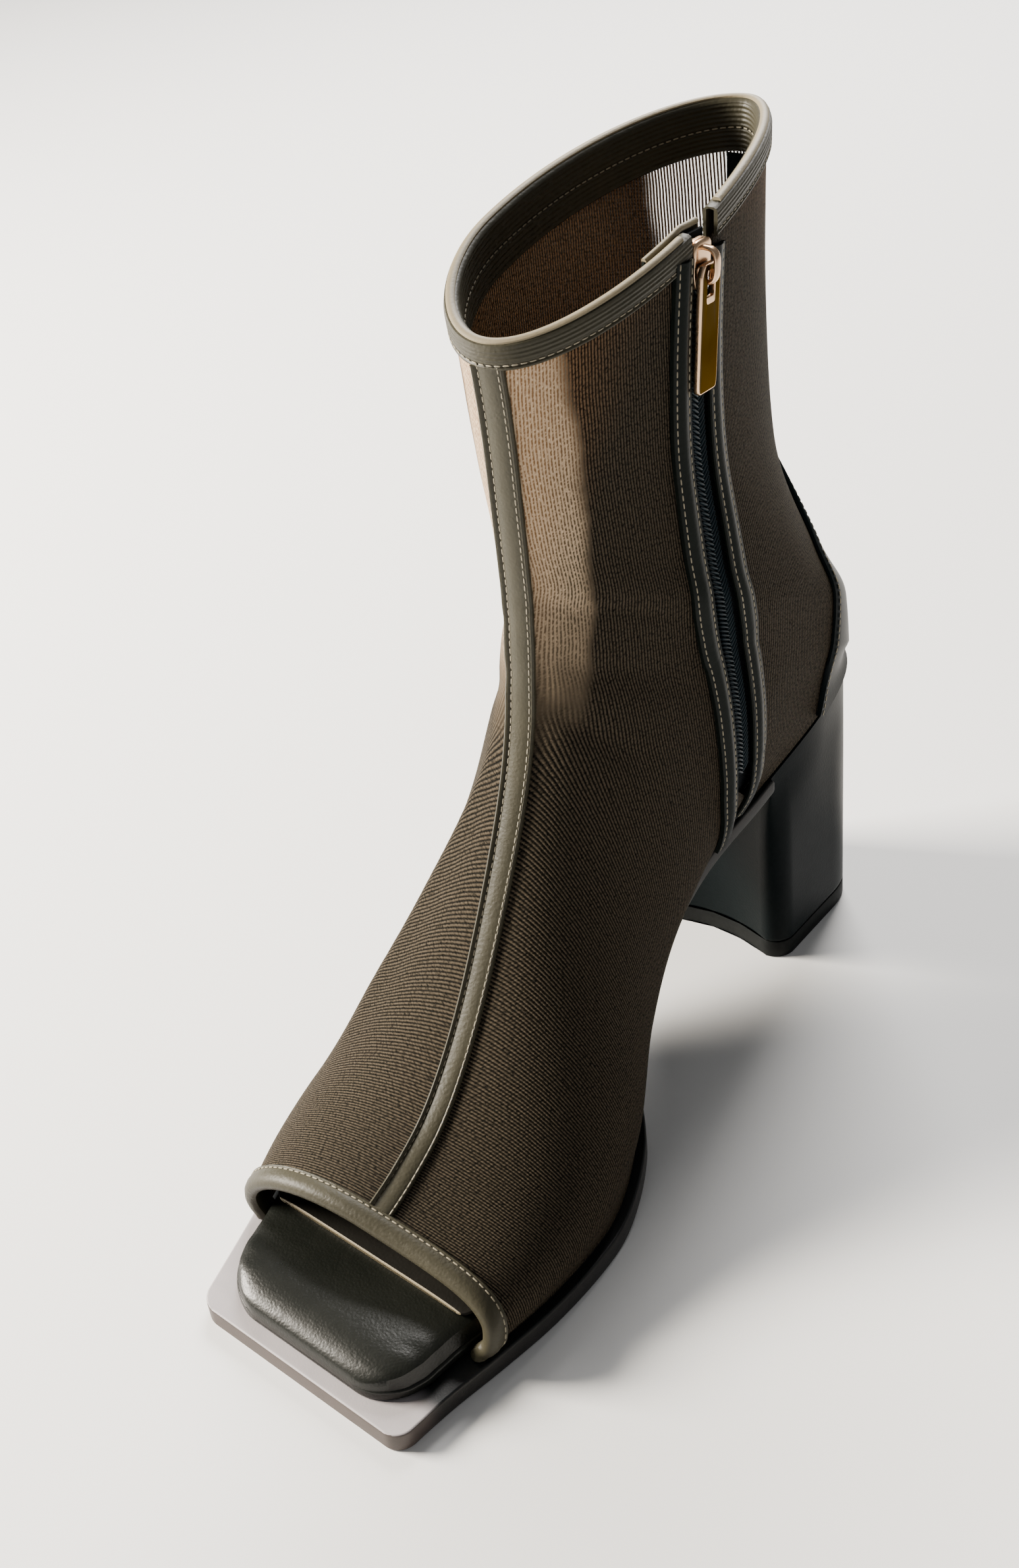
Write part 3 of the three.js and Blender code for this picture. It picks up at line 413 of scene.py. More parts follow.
def new_group(name, inputs, outputs):
    """A shader node group with named sockets: inputs as (name, kind, value), outputs as (name, kind)."""
    group = bpy.data.node_groups.new(name, "ShaderNodeTree")
    for label, kind, value in inputs:
        made = group.interface.new_socket(label, in_out="INPUT", socket_type=kind)
        if value is not None:
            made.default_value = value
    for label, kind in outputs:
        group.interface.new_socket(label, in_out="OUTPUT", socket_type=kind)
    return group, group.nodes.new("NodeGroupInput").outputs, group.nodes.new("NodeGroupOutput").inputs


thread_pitch = 0.9

ribs, given, result = new_group(
    "ribbed_cloth",
    [("Vector", "NodeSocketVector", None), ("Net", "NodeSocketFloat", 0.98)],
    [("Cover", "NodeSocketFloat"), ("Height", "NodeSocketFloat"), ("Shade", "NodeSocketFloat")],
)
parts = put(ribs, "ShaderNodeSeparateXYZ", {"Vector": given["Vector"]}).outputs
drift = put(ribs, "ShaderNodeTexNoise", {"Vector": given["Vector"], "Scale": 0.06, "Detail": 2.0}).outputs[0]
run = calc(ribs, "MULTIPLY_ADD", drift, 0.8, parts[0])
wave = calc(ribs, "COSINE", calc(ribs, "MULTIPLY", run, 2 * np.pi / thread_pitch))
ridge = calc(ribs, "MULTIPLY_ADD", wave, 0.5, 0.5)
cross = calc(ribs, "COSINE", calc(ribs, "MULTIPLY", parts[1], 2 * np.pi / thread_pitch))
net = calc(ribs, "MULTIPLY", given["Net"], calc(ribs, "MULTIPLY_ADD", cross, 0.03, 0.97))
ribs.links.new(calc(ribs, "MAXIMUM", step_between(ribs, ridge, 0.28, 0.55), net), result["Cover"])
ribs.links.new(calc(ribs, "MULTIPLY_ADD", cross, 0.12, ridge), result["Height"])
fine = put(ribs, "ShaderNodeTexNoise", {"Vector": given["Vector"], "Scale": 1.4, "Detail": 2.0}).outputs[0]
shade = calc(ribs, "MULTIPLY", ridge, calc(ribs, "MULTIPLY_ADD", fine, 4.0, -1.05))
ribs.links.new(shade, result["Shade"])


def cloth_finish(name, dark, light, glow_rib, glow_veil, net_low=0.98):
    """Ribbed cloth. A fine veil covers the gaps between its ribs. It is thin beside the back seam, and pale
    beside
    the front seam: high up by the seams its veil and ribs are painted pale and warm, a painted glow standing
    for light from inside shining through. Seen aslant, the ribs close it."""
    material, tree, shader = finish_of(name)
    coordinates = put(tree, "ShaderNodeTexCoord").outputs
    spot = put(tree, "ShaderNodeSeparateXYZ", {"Vector": coordinates["Object"]}).outputs
    patch = put(tree, "ShaderNodeTexNoise", {"Vector": coordinates["Object"], "Scale": 40.0, "Detail": 3.0})
    high_up = step_between(tree, calc(tree, "MULTIPLY_ADD", patch.outputs[0], 0.03, spot[2]), 0.13, 0.19)
    from_seam = calc(tree, "ABSOLUTE", calc(tree, "SUBTRACT", spot[0], float(origin[0] + 1.5) / 1000))
    from_seam = calc(tree, "MULTIPLY_ADD", patch.outputs[0], 0.005, from_seam)
    narrowed = calc(tree, "MULTIPLY_ADD", spot[2], -0.22, calc(tree, "ADD", from_seam, 0.236 * 0.22))
    # Painted glow: high up beside the seams the ribs take a paler, warmer colour for light shining through
    # from inside.
    glow_mask = calc(tree, "MULTIPLY", high_up, step_between(tree, narrowed, 0.032, 0.016))
    sheer_and_glow = calc(tree, "MULTIPLY", high_up, step_between(tree, from_seam, 0.0175, 0.0145))
    at_back = step_between(tree, spot[1], float(origin[1] - 80) / 1000, float(origin[1] - 60) / 1000)
    thin = calc(tree, "MULTIPLY_ADD", at_back, -0.6, 0.85 - net_low)
    net = calc(tree, "MULTIPLY_ADD", sheer_and_glow, thin, net_low)
    cloth = put(tree, "ShaderNodeGroup", node_tree=ribs)
    tree.links.new(coordinates["UV"], cloth.inputs["Vector"])
    tree.links.new(net, cloth.inputs["Net"])
    # The veil's colour by the seams and the ribs' warm colour are a painted glow, not the cloth's own colour.
    paint(tree, shader, cloth.outputs["Shade"], blend_colour(tree, sheer_and_glow, dark, glow_veil),
          blend_colour(tree, glow_mask, light, glow_rib))
    facing = put(tree, "ShaderNodeLayerWeight", {"Blend": 0.5}).outputs["Facing"]
    cover = calc(tree, "MAXIMUM", cloth.outputs["Cover"], step_between(tree, facing, 0.3, 0.6))
    tree.links.new(cover, shader.inputs["Alpha"])
    relief(tree, shader, cloth.outputs["Height"], 0.0003, 0.7)
    fix(shader, Roughness=0.7, Specular_IOR_Level=0.03)
    return material


# The last two colours are a painted glow of light shining through the cloth from inside.
rib_finish = cloth_finish("rib_cloth", (0.003, 0.0032, 0.0025), (0.066, 0.052, 0.036), (0.2, 0.11, 0.055),
                          (0.6, 0.45, 0.3))
# Inside, the pale tan ribs are a painted glow too, standing for light shining through the thin wall.
backing_finish = cloth_finish("cloth_back", (0.02, 0.013, 0.008), (0.5, 0.33, 0.2), (0.2, 0.12, 0.07),
                              (0.22, 0.14, 0.09))


def rib_map(points, rows, turns):
    """Cloth coordinates in mm. Along the ribs it is height. Across them it is -y, stretched over the slope of
    the instep. The shaft adds what the cloth spends on turning in X, summed from the side of the leg to its
    front and its back seam."""
    x, y, z = np.moveaxis(points, -1, 0)
    dx, dy = np.diff(x, axis=1), np.diff(y, axis=1)
    spent = np.cumsum(np.hypot(dx, dy) - abs(dy), axis=1)
    spent = np.concatenate([np.zeros((len(rows), 1)), spent], axis=1)
    at_side = np.where(turns < 0, np.searchsorted(turns, -0.5), np.searchsorted(turns, 0.5))
    extra = np.sign(-turns) * (spent - np.take_along_axis(spent, np.broadcast_to(at_side, spent.shape), 1))
    past = -y - 120
    slope = 0.3 * (np.sqrt(past ** 2 + 400) + past) / 2
    return np.stack([-y + slope + ease(5, 9, rows)[:, None] * extra, z - 0.6 * abs(x)], -1)


def turn_at(row, side, share_of):
    """The turn at which a section crosses a line on one side of the foot, by halving the interval. The line
    gives its share of the foot length for a row and a height."""
    near, far = np.zeros_like(row), np.ones_like(row)
    for _ in range(24):
        middle = (near + far) / 2
        point = skin(row, -side * middle)
        ahead = -point[..., 1] / foot_length > share_of(row, point[..., 2])
        near, far = np.where(ahead, middle, near), np.where(ahead, far, middle)
    return -side * far


zip_line = {
    "row": [6.05, 7, 8, 9.5, 11.5, 13],
    "along": [0.322, 0.32, 0.322, 0.33, 0.328, 0.314],
}
zip_slot = 9.0


def zip_turn(row):
    """The turn of the zip's middle at a row."""
    return turn_at(row, 1, lambda row, height: read(zip_line, "row", "along", row))


rows = np.concatenate([np.linspace(0, 7, 112)[:-1], np.linspace(7, 8, 24)[:-1], np.linspace(8, 13, 84)])
turns = np.linspace(-1, 1, 193)
row_grid, turn_grid = np.meshgrid(rows, turns, indexing="ij")
shell = over(row_grid, turn_grid, 0)
slot_middle = skin(rows, zip_turn(rows))
centre = (shell[1:, 1:] + shell[:-1, :-1]) / 2
from_zip = abs(centre[..., 1] - (slot_middle[1:, None, 1] + slot_middle[:-1, None, 1]) / 2)
above_slot_end = row_grid[1:, 1:] > zip_line["row"][0] + 0.3
in_slot = (from_zip < zip_slot * 0.78) & (turn_grid[1:, 1:] < 0) & above_slot_end
faces = grid_faces(len(rows), len(turns))[~in_slot.ravel()]
upper = make_piece("upper_cloth", (shell, faces, rib_map(shell, rows, turns)), [rib_finish, backing_finish],
                   ["upper"], merge=True, sharp=80)
wall = upper.modifiers.new("wall", "SOLIDIFY")
wall.thickness = 0.0002
wall.offset = -1
wall.material_offset = 1
wall.use_even_offset = True


# Leather trims
# Strips of thin olive leather are sewn over the front seam, folded round the collar and the toe opening, and
# laid beside the zip. Their edges are skived thin and their stitching pulls a shallow trough.
overlay_gap = 0.75
leather = 1.0
clearance = 0.3

grain, given, result = new_group(
    "leather_grain",
    [("Vector", "NodeSocketVector", None), ("Scale", "NodeSocketFloat", 1200.0),
     ("Crumple", "NodeSocketFloat", 0.4)],
    [("Height", "NodeSocketFloat"), ("Shade", "NodeSocketFloat")],
)
at_scale = {"Vector": given["Vector"], "Scale": given["Scale"]}
cells = put(grain, "ShaderNodeTexVoronoi", at_scale, feature="SMOOTH_F1")
pores = put(grain, "ShaderNodeTexNoise", {**at_scale, "Detail": 4.0})
folds = put(grain, "ShaderNodeTexNoise",
            {"Vector": given["Vector"], "Scale": 160.0, "Detail": 5.0, "Distortion": 0.8})
cloud = put(grain, "ShaderNodeTexNoise", {"Vector": given["Vector"], "Scale": 28.0, "Detail": 3.0})
small = calc(grain, "ADD", cells.outputs["Distance"], pores.outputs[0])
height = calc(grain, "MULTIPLY_ADD", small, 0.5, calc(grain, "MULTIPLY", folds.outputs[0], given["Crumple"]))
# The crumples also darken the colour in their hollows and lighten it on their rises: painted shade.
shade = calc(grain, "MULTIPLY_ADD", cloud.outputs[0], 0.75, calc(grain, "MULTIPLY", folds.outputs[0], 0.3))
grain.links.new(height, result["Height"])
grain.links.new(shade, result["Shade"])


def leather_finish(name, dark, light, roughness, gleam=0.35, scale=1200.0, crumple=0.4, depth=0.00012,
                   coat=0.0):
    """Leather: grain and soft crumples in relief, and colour and gloss that drift over the skin, with painted
    shade darkening the crumples' hollows.
    """
    material, tree, shader = finish_of(name)
    hide = put(tree, "ShaderNodeGroup", {"Scale": scale, "Crumple": crumple}, node_tree=grain)
    tree.links.new(put(tree, "ShaderNodeTexCoord").outputs["Object"], hide.inputs["Vector"])
    paint(tree, shader, hide.outputs["Shade"], dark, light)
    gloss = calc(tree, "MULTIPLY_ADD", hide.outputs["Shade"], 0.16, roughness - 0.08)
    tree.links.new(gloss, shader.inputs["Roughness"])
    relief(tree, shader, hide.outputs["Height"], depth, 0.6)
    fix(shader, Specular_IOR_Level=gleam, Coat_Weight=coat, Coat_Roughness=0.3)
    return material


trim_finish = leather_finish("trim_leather", (0.015, 0.014, 0.008), (0.046, 0.041, 0.024), 0.48, 0.25,
                             crumple=1.2, depth=0.0002)
dark_trim_finish = leather_finish("dark_trim_leather", (0.0015, 0.003, 0.0025), (0.007, 0.0095, 0.008), 0.4,
                                  0.07, crumple=0.9)
# Pale beige leather for rolled edges. On the collar's rim the paleness is partly a painted highlight along the
# rolled edge.
rim_finish = leather_finish("rim_leather", (0.14, 0.115, 0.07), (0.28, 0.235, 0.15), 0.5, 0.3)
thread_finish = leather_finish("thread", (0.13, 0.115, 0.08), (0.34, 0.3, 0.22), 0.6, scale=4000.0)


def beside(row, turn, direction, distance):
    """Moves places sideways from a line along the surface, in eight short steps."""
    row, turn, distance = np.broadcast_arrays(row, turn, distance)
    for _ in range(8):
        by_row, by_turn, normal = slopes(row, turn)
        aside = unit(np.cross(normal, direction)) * (distance / 8)[..., None]
        rr, rt, tt = ((a * b).sum(-1) for a, b in ((by_row, by_row), (by_row, by_turn), (by_turn, by_turn)))
        ar, at = (aside * by_row).sum(-1), (aside * by_turn).sum(-1)
        det = rr * tt - rt * rt
        row = np.clip(row + (ar * tt - at * rt) / det, 0, collar_row)
        limit = np.where(row < heel_row, 1, 2)
        turn = np.clip(turn + (at * rr - ar * rt) / det, -limit, limit)
    return row, turn


def direction_of(row, turn):
    """Directions along a line of places."""
    return np.gradient(skin(row, turn), axis=0)


def outward(points, faces):
    """The faces turned so that a closed mesh has a positive volume."""
    flat = points.reshape(-1, 3)
    fan = [(face[0], face[k], face[k + 1]) for face in faces for k in range(1, len(face) - 1)]
    a, b, c = flat[np.array(fan).T]
    return faces if (a * np.cross(b, c)).sum() > 0 else [list(face)[::-1] for face in faces]


def tube_faces(n, m):
    """Faces between n rings of m points, with both ends closed."""
    faces = [list(face) for face in grid_faces(n, m, ring=True)]
    return faces + [list(range(m)), [(n - 1) * m + k for k in range(m)][::-1]]


def closed_tube(points):
    """A tube through rings of points with closed ends. Its UV map is the run along it and round it in mm."""
    run = np.cumsum(np.linalg.norm(np.diff(points[:, 0], axis=0, prepend=points[:1, 0]), axis=-1))
    middle = points[len(points) // 2]
    girth = np.cumsum(np.linalg.norm(np.diff(middle, axis=0, prepend=middle[:1]), axis=-1))
    uv = np.stack(np.broadcast_arrays(run[:, None], girth[None, :]), -1)
    return points, outward(points, tube_faces(*points.shape[:2])), uv


def strip(row, turn, profile, spread=1.0):
    """A closed profile of (distance, lift) carried along a line of places. Positive distances lie towards
    the toe of an upright line."""
    profile = np.asarray(profile, float)
    along = direction_of(row, turn)[:, None]
    distance = np.broadcast_to(spread, row.shape)[:, None] * profile[None, :, 0]
    rows_at, turns_at = beside(row[:, None], turn[:, None], along, distance)
    return closed_tube(over(rows_at, turns_at, profile[None, :, 1]))


def beads(centre, along, up, length, width, height, sides=6):
    """Rounded bars: rings of an ellipse of width by height, scaled along the bar by the fourth root of
    1 - t^4, one bar at each centre, laid along its own direction."""
    t = np.array([-0.98, -0.85, -0.45, 0.45, 0.85, 0.98])
    scale = (1 - t ** 4) ** 0.25
    angle = np.linspace(0, 2 * np.pi, sides, endpoint=False)
    along = unit(along)
    up = unit(up - (up * along).sum(-1, keepdims=True) * along)
    aside = np.cross(up, along)
    ring = scale[:, None, None] * (
        np.cos(angle)[None, :, None] * aside[:, None, None] * width / 2
        + np.sin(angle)[None, :, None] * up[:, None, None] * height / 2
    )
    points = centre[:, None, None] + along[:, None, None] * (t * length / 2)[None, :, None, None] + ring
    one = outward(points[0], tube_faces(len(t), sides))
    size = len(t) * sides
    return points, [[corner + k * size for corner in face] for k in range(len(centre)) for face in one]


def steps_along(row, turn, lift, first, pitch):
    """Even steps along a line of places: the points half a millimetre behind each step, at it and half a
    millimetre ahead of it, and the surface's normal there."""
    line = over(row, turn, lift)
    run = np.append(0, np.cumsum(np.linalg.norm(np.diff(line, axis=0), axis=-1)))
    at = np.arange(first, run[-1], pitch)
    behind, centre, ahead = (
        np.stack([np.interp(at + offset, run, line[:, k]) for k in range(3)], -1) for offset in (-0.5, 0, 0.5)
    )
    return behind, centre, ahead, slopes(np.interp(at, run, row), np.interp(at, run, turn))[2]


stitch_pitch = 2.1
stitch_length = 1.5
thread = 0.42


def sew(name, row, turn, distance, lift):
    """A row of stitches beside a line of places: bars at an even pitch along it."""
    row, turn = beside(row, turn, direction_of(row, turn), np.full(row.shape, float(distance)))
    behind, centre, ahead, normal = steps_along(row, turn, lift, stitch_pitch / 2, stitch_pitch)
    bars = beads(centre, ahead - behind, normal, stitch_length, thread, thread * 0.8)
    make_piece(name, bars, [thread_finish], sharp=80)


def per_mm(row, turn):
    """The change of row that moves a place by one millimetre."""
    return 1 / np.linalg.norm(slopes(row, turn)[0], axis=-1)


toe_depth = 5.0
collar_depth = 5.8
band_depth = 12.5
strip_width = 8.2
strip_toe_width = 6.6

strip_start = float((toe_depth - 0.4) * per_mm(0, 0))
strip_end = collar_row - float((collar_depth - 0.6) * per_mm(collar_row, 0))
row = np.linspace(strip_start, strip_end, 170)
turn = np.zeros_like(row)
strip_profile = [
    (-1, 0.25), (1, 0.25), (1.04, 0.9), (0.98, 1.75), (0.86, 2.0), (0.74, 1.75), (0.64, 1.1), (0.5, 1.25),
    (0, 1.4), (-0.6, 1.3), (-0.72, 1.12), (-0.84, 1.25), (-0.96, 0.95),
]
half = (strip_toe_width + (strip_width - strip_toe_width) * ease(strip_start, heel_row, row)) / 2
make_piece("front_strip_leather", strip(row, turn, strip_profile, half), [trim_finish],
           ["front_strip"])
sew("front_strip_stitches_outer", row, turn, -0.72 * 3.8, 1.2)
sew("front_strip_stitches_inner", row, turn, 0.62 * 3.8, 1.2)


def edge_strip(edge_row, turn, profile):
    """A closed profile of (drop, lift) carried round an open edge of the upper. A positive drop lies on the
    wall, and a negative one stands past its edge."""
    profile = np.asarray(profile, float)
    into = 1 if edge_row == 0 else -1
    drop, lift = profile[:, 0], profile[:, 1]
    scale = per_mm(edge_row, turn)[:, None]
    rows_at = edge_row + into * np.maximum(drop, 0)[None, :] * scale
    points = over(rows_at, np.broadcast_to(turn[:, None], rows_at.shape), lift[None, :])
    along = unit(slopes(np.full(turn.shape, float(edge_row)), turn)[0])
    return closed_tube(points + along[:, None] * (into * np.minimum(drop, 0))[None, :, None])


inside = -cloth - clearance
toe_fold = [
    (toe_depth, 0.3), (toe_depth, 0.9), (4.6, 1.3), (3.9, 1.1), (3.2, 1.35), (2, 1.6), (0.5, 1.5), (-0.7, 0.9),
    (-1.3, 0), (-1.3, -1.2), (-0.7, -2.3), (0.6, -2.8), (3, -2.7), (toe_depth, -2.4), (toe_depth, inside),
    (0, inside), (-0.3, -0.9), (0, 0.3),
]
toe_turns = np.linspace(-1, 1, 150)
make_piece("toe_binding_leather", edge_strip(0, toe_turns, toe_fold), [trim_finish],
           ["toe_binding"])
stitch_row = (toe_depth - 1.1) * per_mm(0, toe_turns)
sew("toe_binding_stitches", stitch_row, toe_turns, 0, 1.2)

zip_notch = 11.0
zip_top = float(zip_turn(float(collar_row)))
turn_per_mm = 1 / np.linalg.norm(slopes(collar_row, zip_top)[1])
notch = zip_notch / 2 * turn_per_mm
collar_turns = np.linspace(zip_top + notch, 2 + zip_top - notch, 240)
drops, steps = np.linspace(collar_depth - 0.3, 0.4, 34), np.linspace(0.4, band_depth - 0.4, 72)
ridges = 0.09 * np.cos(2 * np.pi * drops / 1.05) - 0.25 * np.exp(-(((drops - 4.5) / 0.5) ** 2))
inner_ridges = 0.1 * np.cos(2 * np.pi * steps / 1.2) - 0.2 * np.exp(-(((steps - 6.5) / 0.5) ** 2))
collar_fold = [
    (collar_depth, 0.3), (collar_depth, 0.95), *np.stack([drops, 1.3 + ridges], -1), (-0.3, 1.0), (-0.7, 0.2),
    (-0.7, -1.4), (-0.3, -2.2), *np.stack([steps, -2.6 - inner_ridges], -1), (band_depth, -2.2),
    (band_depth, inside), (0, inside), (-0.3, -0.9), (0, 0.3),
]
make_piece("collar_binding_leather", edge_strip(collar_row, collar_turns, collar_fold), [trim_finish],
           ["collar_binding"])
rim_angle = np.linspace(0, 2 * np.pi, 10, endpoint=False)
rim_profile = np.stack([-0.75 + 0.7 * np.cos(rim_angle), -0.5 + 1.15 * np.sin(rim_angle)], -1)
# The rim's pale colour stands partly for a painted highlight on the collar's rolled edge.
make_piece("collar_rim", edge_strip(collar_row, collar_turns[2:-2], rim_profile), [rim_finish])
for name, drop, lift in (("outer", 4.5, 1.25), ("inner", 6.5, -2.65)):
    stitch_row = collar_row - drop * per_mm(collar_row, collar_turns)
    sew(f"collar_stitches_{name}", stitch_row, collar_turns, 0, lift)


# Counter
# A cap of smooth dark leather is lasted over the back of the upper, down to the heel seat. Its front edges
# are skived thin and sewn, and it is one piece round the back seam.
counter_line = {
    "height": [76, 90, 105, 120, 135, 151],
    "along": [0.16, 0.135, 0.118, 0.105, 0.092, 0.073],
}
counter_top = 10.85
heel_finish = leather_finish("heel_leather", (0.0012, 0.0028, 0.0032), (0.0035, 0.0065, 0.0075), 0.42, 0.05,
                             scale=1500.0, crumple=0.25, depth=0.00006)


def block_faces(layers, n, m, open_from):
    """Faces of a closed block between its first and last grids. Its last column is open from one row up."""
    index = np.arange(layers * n * m).reshape(layers, n, m)
    sheets = [index[0], index[-1][:, ::-1], index[:, 0][:, ::-1], index[:, -1], index[:, :, 0],
              index[:, :open_from + 1, -1][:, ::-1]]
    return np.concatenate([
        np.stack([sheet[:-1, :-1], sheet[1:, :-1], sheet[1:, 1:], sheet[:-1, 1:]], -1).reshape(-1, 4)
        for sheet in sheets
    ])


def counter_turn(row, side):
    """The turn of the counter's front edge at a row."""
    return turn_at(row, side, lambda row, height: read(counter_line, "height", "along", height))


below = np.linspace(7.1, 8, 24)
rows_up = np.concatenate([below, np.linspace(8, 10.8, 60)[1:], [10.83, counter_top]])
shares = np.concatenate([[0, 0.01, 0.02, 0.035], np.linspace(0.06, 1, 24)])
points, faces = [], []
for side in (-1, 1):
    front = counter_turn(rows_up, side)
    turn_grid = front[:, None] + (-side - front)[:, None] * shares
    row_grid = np.broadcast_to(rows_up[:, None], turn_grid.shape)
    skive = ease(-0.01, 0.04, shares)[None, :] * ease(-0.02, 0.08, counter_top - row_grid)
    grids = np.stack([
        over(row_grid, turn_grid, overlay_gap - 0.2 + (leather + 0.2) * (0.35 + 0.65 * skive)),
        over(row_grid, turn_grid, overlay_gap - 0.4),
    ])
    made = block_faces(*grids.shape[:3], len(below) - 1)
    made = made if side < 0 else made[:, ::-1]
    faces += (made + len(points) * grids.size // 3).tolist()
    points.append(grids.reshape(-1, 3))
points = np.concatenate(points)
make_piece("counter_leather", (points, outward(points, faces)), [heel_finish], ["counter"],
           merge=True, sharp=60)
for name, side in (("outer", -1), ("inner", 1)):
    front = counter_turn(rows_up[:-2], side)
    sew(f"counter_stitches_{name}", rows_up[:-2], front, -1.6 * side, overlay_gap + leather + 0.05)


# Zip
# A nylon coil is sewn to a dark woven tape behind a slot in the inner side of the boot. Two padded leather
# facings frame it, a stay covers the back seam inside, and a leather guard lies behind the zip's top.
weave_pitch = 0.7

tape_finish, tree, shader = finish_of("zip_tape_weave")
threads = put(tree, "ShaderNodeTexCoord").outputs["UV"]
warp, weft = (
    calc(tree, "SINE", calc(tree, "MULTIPLY", part, 2 * np.pi / weave_pitch))
    for part in put(tree, "ShaderNodeSeparateXYZ", {"Vector": threads}).outputs[:2]
)
weave = calc(tree, "MULTIPLY_ADD", calc(tree, "MULTIPLY", warp, weft), 0.5, 0.5)
fuzz = put(tree, "ShaderNodeTexNoise", {"Vector": threads, "Scale": 1.2, "Detail": 3.0}).outputs[0]
paint(tree, shader, calc(tree, "MULTIPLY", fuzz, calc(tree, "ADD", weave, 0.6)), (0.003, 0.004, 0.005),
      (0.012, 0.015, 0.018))
relief(tree, shader, weave, 0.0002, 0.6)
fix(shader, Roughness=0.8, Specular_IOR_Level=0.1)

zip_start = zip_line["row"][0]
slider_drop = 8.5
slider_length = 11.5


def zip_row(drop):
    """The row at a drop below the collar, measured on the zip line."""
    return collar_row - drop * float(per_mm(collar_row, zip_top))


row = np.linspace(zip_start, zip_row(collar_depth + clearance), 150)
turn = zip_turn(row)
facing_profile = [(4.5, 0.3), (4.4, 1.2), (4.7, 1.7), (5.2, 1.75), (5.6, 1.65), (6.1, 1.9), (7.0, 2.35),
                  (8.0, 2.4), (9.0, 2.05), (9.5, 1.65), (9.9, 1.5), (10.5, 1.6), (11.0, 1.35), (11.1, 0.3)]
for name, side in (("front", 1), ("back", -1)):
    thin = 1 if side > 0 else 0.75
    profile = [(side * across, 0.3 + (lift - 0.3) * thin) for across, lift in facing_profile]
    make_piece(f"zip_facing_{name}_leather", strip(row, turn, profile), [dark_trim_finish],
               [f"zip_facing_{name}"])
    sew(f"zip_facing_{name}_stitches", row, turn, side * 9.9, 0.3 + 1.25 * thin)
    sew(f"zip_slot_{name}_stitches", row, turn, side * 5.6, 0.3 + 1.45 * thin)

row = np.append(np.linspace(zip_start, zip_row(band_depth + 4), 90), [zip_row(band_depth + 3.6), zip_row(2)])
half = np.where(row > zip_row(band_depth + 4) + 1e-6, zip_notch / 2 - clearance, 11)
under = -cloth - 2 * clearance
tape_profile = [(-1, under - 0.8), (-1, under), (-0.5, under), (0, under), (0.5, under), (1, under),
                (1, under - 0.8), (0.5, under - 0.8), (0, under - 0.8), (-0.5, under - 0.8)]
make_piece("zip_tape_cloth", strip(row, zip_turn(row), tape_profile, half), [tape_finish],
           ["zip_tape"])

stay_end = collar_row - (band_depth + clearance) * float(per_mm(collar_row, 1))
stay_start = stay_end - 84 * float(per_mm(collar_row - 1, 1))
row = np.linspace(stay_start, stay_end, 70)
under = -cloth - clearance
stay_profile = [(-4.5, under - 0.9), (-4.4, under - 0.1), (4.4, under - 0.1), (4.5, under - 0.9),
                (4, under - 1.1), (0, under - 1.1), (-4, under - 1.1)]
make_piece("back_stay_tape", strip(row, np.ones_like(row), stay_profile), [tape_finish],
           ["back_stay"])


def flecked_finish(name, dark, light, scale, detail, roughness, gleam, depth=0.0):
    """A moulded finish with fine flecks between two colours, which stand out by a depth."""
    material, tree, shader = finish_of(name)
    spot = put(tree, "ShaderNodeTexCoord").outputs["Object"]
    fleck = put(tree, "ShaderNodeTexNoise", {"Vector": spot, "Scale": scale, "Detail": detail}).outputs[0]
    paint(tree, shader, fleck, dark, light)
    if depth:
        relief(tree, shader, fleck, depth, 0.4)
    fix(shader, Roughness=roughness, Specular_IOR_Level=gleam)
    return material


coil_finish = flecked_finish("zip_coil_nylon", (0.003, 0.007, 0.010), (0.012, 0.024, 0.032), 900.0, 2.0,
                             0.35, 0.15)
tooth_pitch = 0.68
tooth_length = 3.6
coil_top = zip_row(slider_drop + slider_length / 2 + clearance)
row = np.linspace(zip_start + 0.42, coil_top, 160)
turn = zip_turn(row)
coil_profile = [(-2.6, -1.3), (-2.6, -0.8), (-1.8, -0.4), (1.8, -0.4), (2.6, -0.8), (2.6, -1.3)]
make_piece("zip_coil_cord", strip(row, turn, coil_profile), [coil_finish], ["zip_coil"])
_, centre, ahead, normal = steps_along(row, turn, 0.0, 0.9, tooth_pitch)
ahead = unit(ahead - centre)
side = np.where(np.arange(len(centre)) % 2, 1.0, -1.0)[:, None]
across = unit(np.cross(ahead, normal)) * side
teeth = beads(centre + across * 1.25 - normal * 0.05, across + ahead * 0.8, normal, tooth_length, 0.8, 1.5, 8)
make_piece("zip_coil_teeth", teeth, [coil_finish], sharp=80)

guard_top = zip_row(0.8)
row = np.linspace(zip_row(26), guard_top, 40)
under = -cloth - 2 * clearance - leather - clearance
guard_profile = [
    (-5, under - 0.9), (-5, under - 0.1), (-4.6, under), (5, under), (16.6, under), (17, under - 0.1),
    (17, under - 0.9), (16.6, under - 1), (5, under - 1), (-4.6, under - 1),
]
make_piece("zip_guard_leather", strip(row, zip_turn(row), guard_profile), [dark_trim_finish],
           ["zip_guard"])
across_guard = np.linspace(-5, 17, 30)
upwards = np.broadcast_to(direction_of(row, zip_turn(row))[-1], (30, 3))
rim_row = np.full(30, guard_top)
rim_row, rim_turn = beside(rim_row, zip_turn(rim_row), upwards, across_guard)
line = over(rim_row, rim_turn, under - 0.5)
normal = slopes(rim_row, rim_turn)[2]
aside = np.cross(unit(np.gradient(line, axis=0)), normal)
ring = 0.8 * (np.cos(rim_angle)[:, None, None] * aside + np.sin(rim_angle)[:, None, None] * normal)
make_piece("zip_guard_rim", closed_tube(line[:, None] + np.moveaxis(ring, 0, 1)), [rim_finish])


